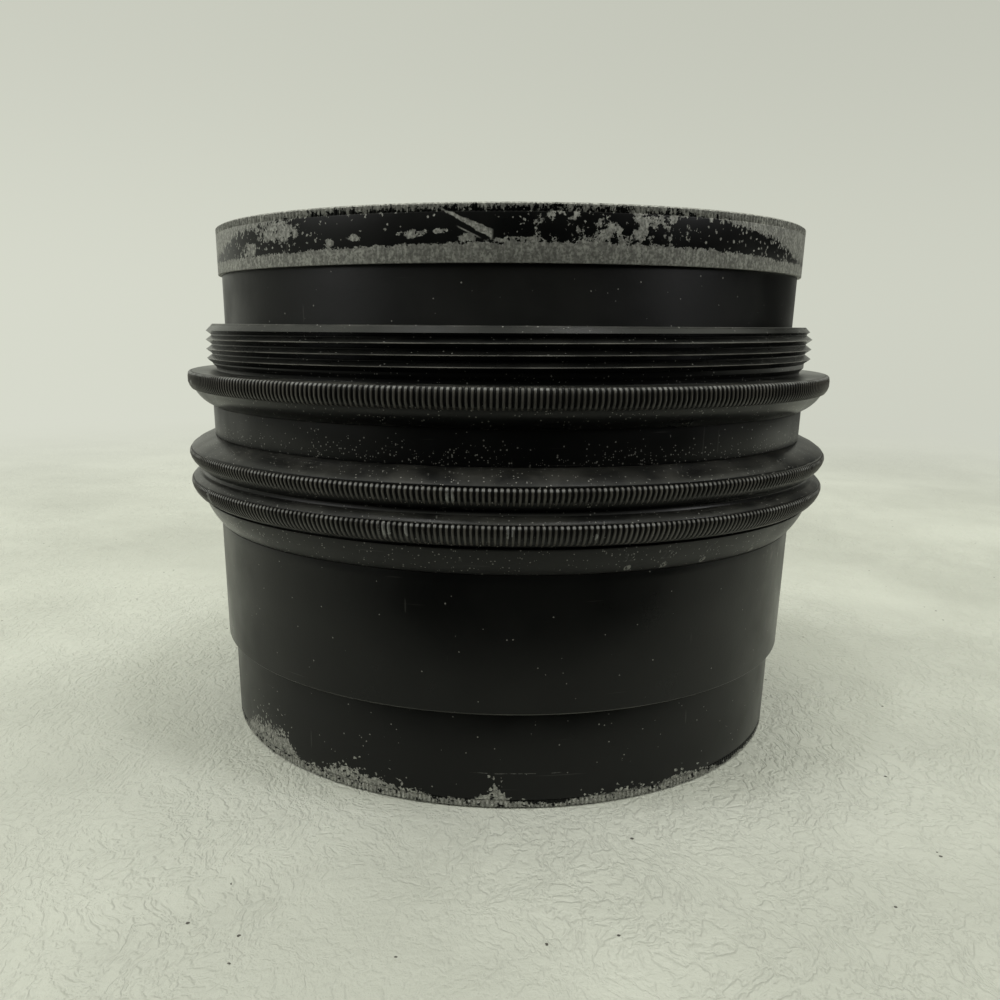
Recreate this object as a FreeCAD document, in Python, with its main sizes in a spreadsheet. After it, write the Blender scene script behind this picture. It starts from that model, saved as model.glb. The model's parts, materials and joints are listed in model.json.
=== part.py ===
import FreeCAD, Part
import math
import os
import re
import Sketcher

# Barrel lens for a large-format camera, standing on its front rim.
# Units are millimetres. Z is the optical axis and points to the rear.
# Four glass elements sit in three groups, with a twelve-leaf iris between them.

SIZES = {
    # Fits shared by all pieces
    "fit_gap": 0.05,
    "end_gap": 0.05,
    "glass_gap": 0.05,
    "glass_land": 1.5,
    "edge_break": 0.3,
    "tool_overrun": 1.0,
    # Front element, which sets the width of the whole lens
    "lens_one_radius": 42.0,
    "lens_one_curve": 110.0,
    "lens_one_edge": 3.8,
    "lens_one_seat": 2.5,
    # Front cell, the small cylinder at the bottom
    "front_ring_width": 2.4,
    "front_ring_height": 2.5,
    "front_bore_step": 2.0,
    "front_bore_depth": 5.5,
    "front_rim_wall": 3.5,
    "front_cell_length": 15.5,
    "front_spigot_wall": 3.95,
    "front_spigot_length": 5.0,
    # Front barrel, the large cylinder
    "front_barrel_step": 1.2,
    "front_barrel_wall": 2.45,
    "front_barrel_length": 20.7,
    "front_barrel_shelf": 2.0,
    # Main barrel, which carries the iris, the iris ring and the rear cell
    "tube_wall": 2.7,
    "tube_overlap": 7.2,
    "sleeve_wall": 2.7,
    "sleeve_length": 4.9,
    "web_clear": 1.0,
    "web_thickness": 1.7,
    "rear_bore_wall": 3.7,
    "rear_neck_length": 7.6,
    # Second cell and its biconcave element
    "second_cell_rim": 9.9,
    "second_cell_wall": 3.45,
    "second_cell_thread": 7.4,
    "second_ring_width": 1.9,
    "second_ring_height": 2.0,
    "second_ring_inset": 0.4,
    "lens_two_front_curve": 200.0,
    "lens_two_rear_curve": 110.0,
    "lens_two_centre": 4.0,
    "seat_lip": 1.0,
    # Iris ring with its two knurled beads and the band for the scale
    "scale_band_height": 4.2,
    "scale_band_flare": 2.8,
    "scale_band_curve": 9.0,
    "band_groove_depth": 0.5,
    "band_groove_width": 0.35,
    "bead_rise": 0.35,
    "bead_foot_step": 0.3,
    "bead_foot_half": 1.9,
    "bead_curve": 1.95,
    "bead_spacing": 4.9,
    "bead_valley_depth": 0.6,
    "ring_tail": 1.15,
    # Iris
    "leaf_count": 12,
    "pivot_margin": 2.95,
    "aperture_share": 0.6744,
    "open_stop_number": 4.5,
    "rest_stop_number": 8.0,
    "closed_stop_number": 32.0,
    "ring_turn_ratio": 2.5,
    "leaf_thickness": 0.08,
    "leaf_slope": 0.065,
    "leaf_rise_angle": 148.0,
    "leaf_outer_margin": 1.5,
    "leaf_ear_margin": 1.3,
    "leaf_start_inner_angle": 12.0,
    "leaf_start_outer_angle": -2.0,
    "leaf_tip_inner_angle": 84.0,
    "leaf_tip_outer_angle": 70.0,
    "leaf_ear_end_angle": 27.0,
    "drive_stud_angle": 25.0,
    "stud_radius": 0.75,
    "stud_gap": 0.05,
    "leaf_lift": 0.25,
    "leaf_reach_share": 1.14,
    "leaf_head_room": 0.36,
    "base_ring_thickness": 1.6,
    "base_ring_clear": 0.5,
    "spacer_wall": 0.8,
    "drive_ring_thickness": 2.6,
    "drive_ring_clear": 0.2,
    "drive_end_gap": 0.1,
    # Screw that joins the iris ring to the drive ring
    "drive_screw_radius": 0.9,
    "drive_screw_head": 1.7,
    "drive_screw_sink": 1.3,
    "drive_screw_head_height": 1.2,
    "drive_screw_grip": 1.9,
    "screw_slot_gap": 0.12,
    # Grub screw that locks the front barrel on the main barrel
    "grub_screw_radius": 1.25,
    "grub_screw_sink": 0.2,
    "driver_slot_width": 0.4,
    "driver_slot_depth": 0.5,
    # Mounting ring with its shoulder and its thread
    "shoulder_height": 5.6,
    "flare_height": 2.6,
    "flare_step": 2.7,
    "flare_curve": 3.2,
    "shoulder_step": 3.5,
    "shoulder_curve": 1.9,
    "thread_wall": 3.3,
    "thread_length": 7.4,
    "thread_chamfer": 1.2,
    # Rear cell, the ring at the top, and its cemented pair
    "rear_rim_step": 0.6,
    "rear_rim_wall": 3.3,
    "rear_rim_depth": 6.0,
    "rear_cell_length": 7.2,
    "rear_cell_tube": 23.5,
    "rear_cell_wall": 7.9,
    "rear_ledge": 3.5,
    "rear_cone_height": 4.7,
    "rear_ring_width": 3.4,
    "rear_ring_height": 2.5,
    "rear_seat_lip": 1.3,
    "pair_front_curve": 400.0,
    "pair_cement_curve": 95.0,
    "pair_rear_curve": 110.0,
    "lens_three_centre": 4.1,
    "lens_four_edge": 1.2,
    # Spanner slots in the retaining rings
    "spanner_slot_width": 2.2,
    "spanner_slot_depth": 0.9,
    "ring_bevel": 1.9,
    "ring_step": 0.15,
}

PLACES = {
    # Radii of the front cell, each from the piece inside it
    "lens_one_clear": "lens_one_radius - glass_land",
    "front_ring_radius": "lens_one_radius + glass_gap + front_ring_width",
    "front_bore_radius": "front_ring_radius + fit_gap + front_bore_step",
    "front_cell_radius": "front_bore_radius + front_rim_wall",
    "front_spigot_radius": "lens_one_radius + glass_gap + front_spigot_wall",
    # Radii of the barrels and of the rings round them
    "front_barrel_radius": "front_cell_radius + front_barrel_step",
    "tube_radius": "front_barrel_radius - front_barrel_wall - fit_gap",
    "tube_slide_radius": "tube_radius + fit_gap",
    "tube_bore_radius": "tube_radius - tube_wall",
    "front_barrel_web": "tube_bore_radius - front_barrel_shelf",
    "sleeve_radius": "tube_radius + sleeve_wall",
    "scale_band_radius": "front_barrel_radius + scale_band_flare",
    "bead_foot_radius": "scale_band_radius + bead_foot_step",
    "bead_valley_radius": "bead_foot_radius - bead_valley_depth",
    "drive_screw_seat": "bead_valley_radius - drive_screw_sink",
    "flare_radius": "sleeve_radius + flare_step",
    "shoulder_radius": "sleeve_radius + shoulder_step",
    "thread_radius": "tube_radius + thread_wall",
    # Radii inside the main barrel
    "inner_stack_radius": "tube_bore_radius - fit_gap",
    "lens_two_radius": "inner_stack_radius - second_cell_rim - glass_gap",
    "lens_two_clear": "lens_two_radius - glass_land",
    "second_cell_nose": "lens_two_radius + glass_gap + second_cell_wall",
    "second_ring_radius": "lens_two_radius + glass_gap + second_ring_width",
    "pivot_radius": "inner_stack_radius - pivot_margin",
    "aperture_radius": "pivot_radius * aperture_share",
    "leaf_outer_radius": "pivot_radius - leaf_outer_margin",
    "leaf_ear_radius": "pivot_radius + leaf_ear_margin",
    "base_ring_bore": "aperture_radius + base_ring_clear",
    "drive_ring_bore": "aperture_radius + drive_ring_clear",
    "web_radius": "aperture_radius + web_clear",
    # Radii of the rear cell
    "rear_bore_radius": "tube_radius - rear_bore_wall",
    "pair_radius": "rear_bore_radius - fit_gap - rear_cell_wall - glass_gap",
    "pair_clear": "pair_radius - glass_land",
    "rear_ring_radius": "pair_radius + glass_gap + rear_ring_width",
    "rear_cell_radius": "tube_radius + rear_rim_step",
    "rear_rim_bore": "rear_cell_radius - rear_rim_wall",
    "rear_cone_radius": "rear_rim_bore - rear_ledge",
    # Heights of the outer joints, from the front rim to the rear rim
    "barrel_front": "front_cell_length",
    "barrel_rear": "barrel_front + front_barrel_length",
    "tube_front": "barrel_rear - tube_overlap",
    "band_rear": "barrel_rear + scale_band_height",
    "front_bead": "band_rear + band_groove_width + bead_rise + bead_foot_half",
    "rear_bead": "front_bead + bead_spacing",
    "sleeve_front": "rear_bead + bead_foot_half + ring_tail + end_gap",
    "sleeve_rear": "sleeve_front + sleeve_length",
    "shoulder": "sleeve_rear + shoulder_height",
    "thread_rear": "shoulder + thread_length",
    "tube_rear": "thread_rear + rear_neck_length",
    "rim_rear": "tube_rear + rear_cell_length",
    # Iris stack, from the drive ring forward
    "screw_level": "(front_bead + rear_bead) / 2",
    "drive_front": "screw_level - drive_ring_thickness / 2",
    "drive_rear": "screw_level + drive_ring_thickness / 2",
    "web_front": "drive_rear + drive_end_gap",
    "web_rear": "web_front + web_thickness",
    "chamber_height": "leaf_lift + leaf_slope * leaf_reach_share * pivot_radius + leaf_head_room",
    "base_rear": "drive_front - chamber_height",
    "base_front": "base_rear - base_ring_thickness",
    "leaf_level": "base_rear + leaf_lift",
    # Leaf turns from fully open, in degrees, at rest and at the smallest stop
    "rest_hole": "aperture_radius * open_stop_number / rest_stop_number",
    "closed_hole": "aperture_radius * open_stop_number / closed_stop_number",
    "rest_turn": "2 * asin((aperture_radius - rest_hole) / (2 * pivot_radius))",
    "closed_turn": "2 * asin((aperture_radius - closed_hole) / (2 * pivot_radius))",
    # Glass: rims and the poles of the curved sides
    "lens_one_rear": "barrel_front + lens_one_seat",
    "lens_one_rim": "lens_one_rear - lens_one_edge",
    "lens_one_pole": "lens_one_rim - lens_one_curve + sqrt(lens_one_curve ^ 2 - lens_one_clear ^ 2)",
    "lens_two_rear_rim": "base_front - second_ring_height - second_ring_inset",
    "lens_two_rear_pole":
        "lens_two_rear_rim - lens_two_rear_curve + sqrt(lens_two_rear_curve ^ 2 - lens_two_clear ^ 2)",
    "lens_two_front_pole": "lens_two_rear_pole - lens_two_centre",
    "lens_two_front_rim":
        "lens_two_front_pole - lens_two_front_curve + sqrt(lens_two_front_curve ^ 2 - lens_two_clear ^ 2)",
    "pair_front_rim": "tube_rear - rear_cell_tube + rear_seat_lip",
    "pair_front_pole": "pair_front_rim + pair_front_curve - sqrt(pair_front_curve ^ 2 - pair_clear ^ 2)",
    "cement_pole": "pair_front_pole + lens_three_centre",
    "cement_rim": "cement_pole + pair_cement_curve - sqrt(pair_cement_curve ^ 2 - pair_radius ^ 2)",
    "pair_rear_rim": "cement_rim + lens_four_edge",
    "pair_rear_pole": "pair_rear_rim + pair_rear_curve - sqrt(pair_rear_curve ^ 2 - pair_clear ^ 2)",
}

doc = FreeCAD.newDocument("barrel_lens")
sheet = doc.addObject("Spreadsheet::Sheet", "sizes")
for row, (size_name, size_value) in enumerate(SIZES.items(), start=1):
    sheet.set(f"A{row}", size_name)
    sheet.set(f"B{row}", str(size_value))
    sheet.setAlias(f"B{row}", size_name)
doc.recompute()

pieces = []


# Turn a formula of named sizes and places into an expression on the sheet.
def expression(formula):
    def spell(match):
        word = match.group(0)
        if word in PLACES:
            return "(" + expression(PLACES[word]) + ")"
        if word in SIZES:
            return "sizes." + word
        return word
    return re.sub(r"[a-z][a-z_0-9]*", spell, formula)


# Give the present value of a formula.
def value(formula):
    result = sheet.evalExpression(expression(formula).replace("sizes.", ""))
    return float(getattr(result, "Value", result))


# Start a sketch on one of a body's own origin planes.
def start_sketch(body, name, role):
    sketch = body.newObject("Sketcher::SketchObject", name)
    plane = next(item for item in body.Origin.OriginFeatures if item.Role == role)
    sketch.AttachmentSupport = [(plane, "")]
    sketch.MapMode = "FlatFace"
    return sketch


# Hold one point of a sketch at formulas for its two coordinates.
def hold_point(sketch, geometry, vertex, across, along):
    for kind, formula, axis in (("DistanceX", across, -2), ("DistanceY", along, -1)):
        if formula == "0":
            sketch.addConstraint(Sketcher.Constraint("PointOnObject", geometry, vertex, axis))
            continue
        rule = Sketcher.Constraint(kind, -1, 1, geometry, vertex, value(formula))
        number = sketch.addConstraint(rule)
        sketch.setExpression(f"Constraints[{number}]", expression(formula))


# Centre of an arc between two points, on the left of the way for side 1, on the right for -1.
def arc_centre(start, end, radius, side):
    middle = (start + end) * 0.5
    way = end - start
    half = way.Length / 2
    reach = math.sqrt(max(radius ** 2 - half ** 2, 0.0))
    left = FreeCAD.Vector(-way.y, way.x, 0).normalize()
    return middle + left * (reach * side)


# Draw a closed outline. Each corner is (across, along) or (across, along, radius, side),
# where the last two bend the edge that leaves the corner.
def draw_outline(sketch, corners):
    points = [FreeCAD.Vector(value(corner[0]), value(corner[1]), 0) for corner in corners]
    ends = []
    for place, corner in enumerate(corners):
        start = points[place]
        end = points[(place + 1) % len(points)]
        if len(corner) == 2:
            edge = sketch.addGeometry(Part.LineSegment(start, end), False)
            ends.append((edge, 1, 2))
            continue
        radius = value(corner[2])
        centre = arc_centre(start, end, radius, corner[3])
        opening, closing = (start, end) if corner[3] == 1 else (end, start)
        first_angle = math.atan2(opening.y - centre.y, opening.x - centre.x)
        last_angle = math.atan2(closing.y - centre.y, closing.x - centre.x)
        if last_angle < first_angle:
            last_angle += 2 * math.pi
        circle = Part.Circle(centre, FreeCAD.Vector(0, 0, 1), radius)
        edge = sketch.addGeometry(Part.ArcOfCircle(circle, first_angle, last_angle), False)
        ends.append((edge, 1, 2) if corner[3] == 1 else (edge, 2, 1))
    for place, (edge, first, last) in enumerate(ends):
        following, following_first, _ = ends[(place + 1) % len(ends)]
        sketch.addConstraint(Sketcher.Constraint("Coincident", edge, last, following, following_first))
        hold_point(sketch, edge, first, corners[place][0], corners[place][1])
        if len(corners[place]) == 4:
            number = sketch.addConstraint(Sketcher.Constraint("Radius", edge, value(corners[place][2])))
            sketch.setExpression(f"Constraints[{number}]", expression(corners[place][2]))


# Start a piece as a body of its own.
def start_piece(name):
    body = doc.addObject("PartDesign::Body", name)
    body.Label = name
    pieces.append(body)
    return body


# Turn a piece on the lathe from its outline of (radius, height) corners.
def turned(name, corners):
    body = start_piece(name)
    sketch = start_sketch(body, name + "_outline", "XZ_Plane")
    draw_outline(sketch, corners)
    turning = body.newObject("PartDesign::Revolution", name + "_turning")
    turning.Profile = sketch
    turning.ReferenceAxis = (sketch, ["V_Axis"])
    turning.Angle = 360
    body.Tip = turning
    doc.recompute()
    return body


# Stop if a cut has taken nothing away.
def check_cut(body, before):
    doc.recompute()
    if not body.Shape.Volume < before - 1e-4:
        raise RuntimeError(f"a cut in {body.Label} removes nothing")


# Mill the two spanner slots across a retaining ring, down from a face or up into it.
def spanner_slots(body, face_height, across_radius, upward):
    before = body.Shape.Volume
    sketch = start_sketch(body, body.Name + "_slots", "XY_Plane")
    sketch.setExpression(".AttachmentOffset.Base.z", expression(face_height))
    long_half = across_radius + " + spanner_slot_width"
    short_half = "spanner_slot_width / 2"
    draw_outline(sketch, [
        (f"-({long_half})", f"-({short_half})"),
        (long_half, f"-({short_half})"),
        (long_half, short_half),
        (f"-({long_half})", short_half),
    ])
    pocket = body.newObject("PartDesign::Pocket", body.Name + "_slot_cut")
    pocket.Profile = sketch
    pocket.Reversed = upward
    pocket.setExpression("Length", expression("spanner_slot_depth"))
    body.Tip = pocket
    check_cut(body, before)


# Bore a radial hole at the back of a piece, outwards from a distance behind the axis.
def radial_hole(body, label, height, radius, from_distance, depth):
    before = body.Shape.Volume
    sketch = start_sketch(body, body.Name + label, "XZ_Plane")
    sketch.setExpression(".AttachmentOffset.Base.z", expression(f"-({from_distance})"))
    add_circle(sketch, "0", height, radius)
    pocket = body.newObject("PartDesign::Pocket", body.Name + label + "_cut")
    pocket.Profile = sketch
    pocket.setExpression("Length", expression(depth))
    body.Tip = pocket
    check_cut(body, before)


# Add a circle at formulas for its centre and radius.
def add_circle(sketch, across, along, radius):
    centre = FreeCAD.Vector(value(across), value(along), 0)
    circle = sketch.addGeometry(Part.Circle(centre, FreeCAD.Vector(0, 0, 1), value(radius)), False)
    hold_point(sketch, circle, 3, across, along)
    number = sketch.addConstraint(Sketcher.Constraint("Radius", circle, value(radius)))
    sketch.setExpression(f"Constraints[{number}]", expression(radius))


# Raise a round stud from a height, on a point given by formulas.
def stud(body, label, across, along, radius, from_height, height):
    sketch = start_sketch(body, body.Name + label, "XY_Plane")
    sketch.setExpression(".AttachmentOffset.Base.z", expression(from_height))
    add_circle(sketch, across, along, radius)
    pad = body.newObject("PartDesign::Pad", body.Name + label + "_pad")
    pad.Profile = sketch
    pad.setExpression("Length", expression(height))
    body.Tip = pad
    doc.recompute()


# Front cell: slip-on rim outside, lens pocket and ring thread inside, spigot to the rear.
def make_front_cell():
    turned("front_cell", [
        ("front_bore_radius", "0"),
        ("front_cell_radius - edge_break", "0"),
        ("front_cell_radius", "edge_break"),
        ("front_cell_radius", "barrel_front"),
        ("front_spigot_radius", "barrel_front"),
        ("front_spigot_radius", "barrel_front + front_spigot_length"),
        ("lens_one_clear", "barrel_front + front_spigot_length"),
        ("lens_one_clear", "lens_one_rear"),
        ("lens_one_radius + glass_gap", "lens_one_rear"),
        ("lens_one_radius + glass_gap", "lens_one_rim + ring_step"),
        ("front_ring_radius + fit_gap", "lens_one_rim + ring_step"),
        ("front_ring_radius + fit_gap", "front_bore_depth"),
        ("front_bore_radius", "front_bore_depth"),
    ])
    ring = turned("front_retaining_ring", [
        ("lens_one_clear", "lens_one_rim"),
        ("lens_one_clear + ring_bevel", "lens_one_rim - front_ring_height"),
        ("front_ring_radius", "lens_one_rim - front_ring_height"),
        ("front_ring_radius", "lens_one_rim"),
    ])
    spanner_slots(ring, "lens_one_rim - front_ring_height", "front_ring_radius", True)
    turned("front_element", [
        ("0", "lens_one_pole", "lens_one_curve", 1),
        ("lens_one_clear", "lens_one_rim"),
        ("lens_one_radius", "lens_one_rim"),
        ("lens_one_radius", "lens_one_rear"),
        ("0", "lens_one_rear"),
    ])


# Front barrel: takes the front cell from below and screws over the main barrel.
def make_front_barrel():
    barrel = turned("front_barrel", [
        ("front_spigot_radius + fit_gap", "barrel_front"),
        ("front_barrel_radius", "barrel_front"),
        ("front_barrel_radius", "barrel_rear"),
        ("tube_slide_radius", "barrel_rear"),
        ("tube_slide_radius", "tube_front"),
        ("front_barrel_web", "tube_front"),
        ("front_barrel_web", "barrel_front + front_spigot_length + end_gap"),
        ("front_spigot_radius + fit_gap", "barrel_front + front_spigot_length + end_gap"),
    ])
    level = "(tube_front + barrel_rear) / 2"
    radial_hole(barrel, "_grub_hole", level, "grub_screw_radius + fit_gap", "tube_radius",
                "front_barrel_radius - tube_radius + edge_break")
    screw_length = "front_barrel_radius - tube_radius - grub_screw_sink"
    make_screw("front_barrel_grub_screw", level, [("grub_screw_radius", "tube_radius", screw_length)],
               "front_barrel_radius - grub_screw_sink", "grub_screw_radius")


# A radial screw behind the axis, from stretches of (radius, start, length), with a driver slot.
def make_screw(name, level, stretches, head_face, head_radius):
    body = start_piece(name)
    for place, (radius, start, length) in enumerate(stretches):
        sketch = start_sketch(body, f"{name}_circle_{place}", "XZ_Plane")
        sketch.setExpression(".AttachmentOffset.Base.z", expression(f"-({start})"))
        add_circle(sketch, "0", level, radius)
        pad = body.newObject("PartDesign::Pad", f"{name}_stretch_{place}")
        pad.Profile = sketch
        pad.Reversed = True
        pad.setExpression("Length", expression(length))
        body.Tip = pad
        doc.recompute()
    before = body.Shape.Volume
    sketch = start_sketch(body, name + "_slot", "XZ_Plane")
    sketch.setExpression(".AttachmentOffset.Base.z",
                         expression(f"-({head_face} - driver_slot_depth)"))
    long_half = head_radius + " + driver_slot_width"
    short_half = "driver_slot_width / 2"
    draw_outline(sketch, [
        (f"-({long_half})", f"{level} - {short_half}"),
        (long_half, f"{level} - {short_half}"),
        (long_half, f"{level} + {short_half}"),
        (f"-({long_half})", f"{level} + {short_half}"),
    ])
    pocket = body.newObject("PartDesign::Pocket", name + "_slot_cut")
    pocket.Profile = sketch
    pocket.setExpression("Length", expression("2 * driver_slot_depth"))
    body.Tip = pocket
    check_cut(body, before)


# Main barrel: one tube with the sleeve outside and the web behind the iris inside.
def make_main_barrel():
    barrel = turned("main_barrel", [
        ("tube_bore_radius", "tube_front"),
        ("tube_radius", "tube_front"),
        ("tube_radius", "sleeve_front"),
        ("sleeve_radius", "sleeve_front"),
        ("sleeve_radius", "sleeve_rear"),
        ("tube_radius", "sleeve_rear"),
        ("tube_radius", "tube_rear"),
        ("rear_bore_radius", "tube_rear"),
        ("rear_bore_radius", "web_rear"),
        ("web_radius", "web_rear"),
        ("web_radius", "web_front"),
        ("tube_bore_radius", "web_front"),
    ])
    before = barrel.Shape.Volume
    # The drive screw passes through this slot, whose ends stop the iris ring.
    sketch = start_sketch(barrel, "drive_slot_section", "YZ_Plane")
    half = "drive_screw_radius + screw_slot_gap"
    draw_outline(sketch, [
        ("tube_bore_radius - fit_gap", f"screw_level - ({half})"),
        ("tube_radius + fit_gap", f"screw_level - ({half})"),
        ("tube_radius + fit_gap", f"screw_level + ({half})"),
        ("tube_bore_radius - fit_gap", f"screw_level + ({half})"),
    ])
    end_room = "asin((drive_screw_radius + screw_slot_gap) / tube_bore_radius)"
    middle = "ring_turn_ratio * (closed_turn / 2 - rest_turn)"
    sketch.AttachmentOffset = FreeCAD.Placement(
        FreeCAD.Vector(0, 0, 0), FreeCAD.Rotation(FreeCAD.Vector(0, 1, 0), value(middle)))
    sketch.setExpression(".AttachmentOffset.Rotation.Angle", expression(middle))
    groove = barrel.newObject("PartDesign::Groove", "drive_slot")
    groove.Profile = sketch
    groove.ReferenceAxis = (sketch, ["V_Axis"])
    groove.Midplane = True
    groove.setExpression("Angle", expression(f"ring_turn_ratio * closed_turn + 2 * {end_room}"))
    barrel.Tip = groove
    check_cut(barrel, before)


# Second cell: screws into the main barrel from the front and clamps the iris stack.
def make_second_cell():
    turned("second_cell", [
        ("lens_two_clear", "lens_two_front_rim - seat_lip"),
        ("second_cell_nose", "lens_two_front_rim - seat_lip"),
        ("second_cell_nose", "base_front - second_cell_thread"),
        ("inner_stack_radius", "base_front - second_cell_thread"),
        ("inner_stack_radius", "base_front"),
        ("second_ring_radius + fit_gap", "base_front"),
        ("second_ring_radius + fit_gap", "lens_two_rear_rim - ring_step"),
        ("lens_two_radius + glass_gap", "lens_two_rear_rim - ring_step"),
        ("lens_two_radius + glass_gap", "lens_two_front_rim"),
        ("lens_two_clear", "lens_two_front_rim"),
    ])
    turned("second_element", [
        ("0", "lens_two_front_pole", "lens_two_front_curve", -1),
        ("lens_two_clear", "lens_two_front_rim"),
        ("lens_two_radius", "lens_two_front_rim"),
        ("lens_two_radius", "lens_two_rear_rim"),
        ("lens_two_clear", "lens_two_rear_rim", "lens_two_rear_curve", -1),
        ("0", "lens_two_rear_pole"),
    ])
    ring = turned("second_retaining_ring", [
        ("lens_two_clear", "lens_two_rear_rim"),
        ("second_ring_radius", "lens_two_rear_rim"),
        ("second_ring_radius", "lens_two_rear_rim + second_ring_height"),
        ("lens_two_clear", "lens_two_rear_rim + second_ring_height"),
    ])
    spanner_slots(ring, "lens_two_rear_rim + second_ring_height", "second_ring_radius", False)


# Iris ring: band for the scale, two beads for the fingers, running on the main barrel.
def make_iris_ring():
    ring = turned("iris_ring", [
        ("tube_slide_radius", "barrel_rear + end_gap"),
        ("front_barrel_radius", "barrel_rear + end_gap", "scale_band_curve", -1),
        ("scale_band_radius", "band_rear"),
        ("scale_band_radius - band_groove_depth", "band_rear"),
        ("scale_band_radius - band_groove_depth", "band_rear + band_groove_width"),
        ("bead_foot_radius", "band_rear + band_groove_width"),
        ("bead_foot_radius", "front_bead - bead_foot_half", "bead_curve", 1),
        ("bead_foot_radius", "front_bead + bead_foot_half"),
        ("bead_valley_radius", "front_bead + bead_foot_half"),
        ("bead_valley_radius", "rear_bead - bead_foot_half"),
        ("bead_foot_radius", "rear_bead - bead_foot_half", "bead_curve", 1),
        ("bead_foot_radius", "rear_bead + bead_foot_half"),
        ("sleeve_radius", "sleeve_front - end_gap"),
        ("tube_slide_radius", "sleeve_front - end_gap"),
    ])
    radial_hole(ring, "_screw_hole", "screw_level", "drive_screw_radius + fit_gap", "tube_bore_radius",
                "drive_screw_seat - tube_bore_radius + edge_break")
    radial_hole(ring, "_screw_seat", "screw_level", "drive_screw_head + fit_gap", "drive_screw_seat",
                "bead_foot_radius + 2 * bead_curve - drive_screw_seat")
    shank_start = "inner_stack_radius - drive_screw_grip"
    make_screw("iris_drive_screw", "screw_level", [
        ("drive_screw_radius", shank_start, f"drive_screw_seat - ({shank_start})"),
        ("drive_screw_head", "drive_screw_seat", "drive_screw_head_height"),
    ], "drive_screw_seat + drive_screw_head_height", "drive_screw_head")


# Where the drive stud of the first leaf stands in the drive ring after a leaf turn from open.
def stud_in_ring(turn):
    pivot = complex(value("pivot_radius"), 0)
    bearing = math.radians(value("drive_stud_angle"))
    arm = pivot * complex(math.cos(bearing), math.sin(bearing)) - pivot
    swing = complex(math.cos(turn), math.sin(turn))
    ring_turn = value("ring_turn_ratio") * (turn - math.radians(value("rest_turn")))
    back = complex(math.cos(ring_turn), -math.sin(ring_turn))
    return (pivot + arm * swing) * back


# One curved slot of the drive ring, as a solid to cut away.
def drive_slot_cutter():
    steps = 8
    over = math.radians(0.25)
    last = math.radians(value("closed_turn")) + over
    turns = [-over + (last + over) * step / steps for step in range(steps + 1)]
    half = value("stud_radius + stud_gap")
    middles = [stud_in_ring(turn) for turn in turns]
    ways = [stud_in_ring(turn + 1e-4) - stud_in_ring(turn - 1e-4) for turn in turns]
    lefts = [way / abs(way) * 1j for way in ways]

    def point(place):
        return FreeCAD.Vector(place.real, place.imag, value("drive_front - tool_overrun"))

    def side(sign):
        curve = Part.BSplineCurve()
        curve.interpolate([point(m + left * half * sign) for m, left in zip(middles, lefts)])
        return curve.toShape()

    def cap(place, outward):
        tip = middles[place] + outward * half
        return Part.Arc(point(middles[place] + lefts[place] * half), point(tip),
                        point(middles[place] - lefts[place] * half)).toShape()

    edges = [side(1), cap(-1, -lefts[-1] * 1j), side(-1), cap(0, lefts[0] * 1j)]
    face = Part.Face(Part.Wire(Part.__sortEdges__(edges)))
    return face.extrude(FreeCAD.Vector(0, 0, value("drive_ring_thickness + 2 * tool_overrun")))


# Drive ring: a flat ring with one curved slot for each leaf, turned by the drive screw.
def make_drive_ring():
    count = int(value("leaf_count"))
    outer = doc.addObject("Part::Cylinder", "drive_ring_disc")
    outer.setExpression("Radius", expression("inner_stack_radius"))
    outer.setExpression("Height", expression("drive_ring_thickness"))
    outer.setExpression(".Placement.Base.z", expression("drive_front"))
    cutters = [drive_slot_cutter()]
    for place in range(1, count):
        turned_copy = cutters[0].copy()
        turned_copy.rotate(FreeCAD.Vector(0, 0, 0), FreeCAD.Vector(0, 0, 1), 360 * place / count)
        cutters.append(turned_copy)
    slots = doc.addObject("Part::Feature", "drive_ring_slots")
    slots.Shape = Part.makeCompound(cutters)
    bore = doc.addObject("Part::Cylinder", "drive_ring_bore_tool")
    bore.setExpression("Radius", expression("drive_ring_bore"))
    bore.setExpression("Height", expression("drive_ring_thickness + 2 * tool_overrun"))
    bore.setExpression(".Placement.Base.z", expression("drive_front - tool_overrun"))
    hole = doc.addObject("Part::Cylinder", "drive_ring_screw_hole")
    hole.setExpression("Radius", expression("drive_screw_radius + fit_gap"))
    hole.setExpression("Height", expression("drive_screw_grip + fit_gap + tool_overrun"))
    hole.Placement = FreeCAD.Placement(FreeCAD.Vector(0, 0, 0), FreeCAD.Rotation(FreeCAD.Vector(1, 0, 0), -90))
    hole.setExpression(".Placement.Base.y", expression("inner_stack_radius - drive_screw_grip - fit_gap"))
    hole.setExpression(".Placement.Base.z", expression("screw_level"))
    tools = doc.addObject("Part::Compound", "drive_ring_tools")
    tools.Links = [bore, slots, hole]
    ring = doc.addObject("Part::Cut", "iris_drive_ring")
    ring.Base = outer
    ring.Tool = tools
    ring.Label = "iris_drive_ring"
    pieces.append(ring)
    doc.recompute()


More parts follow.
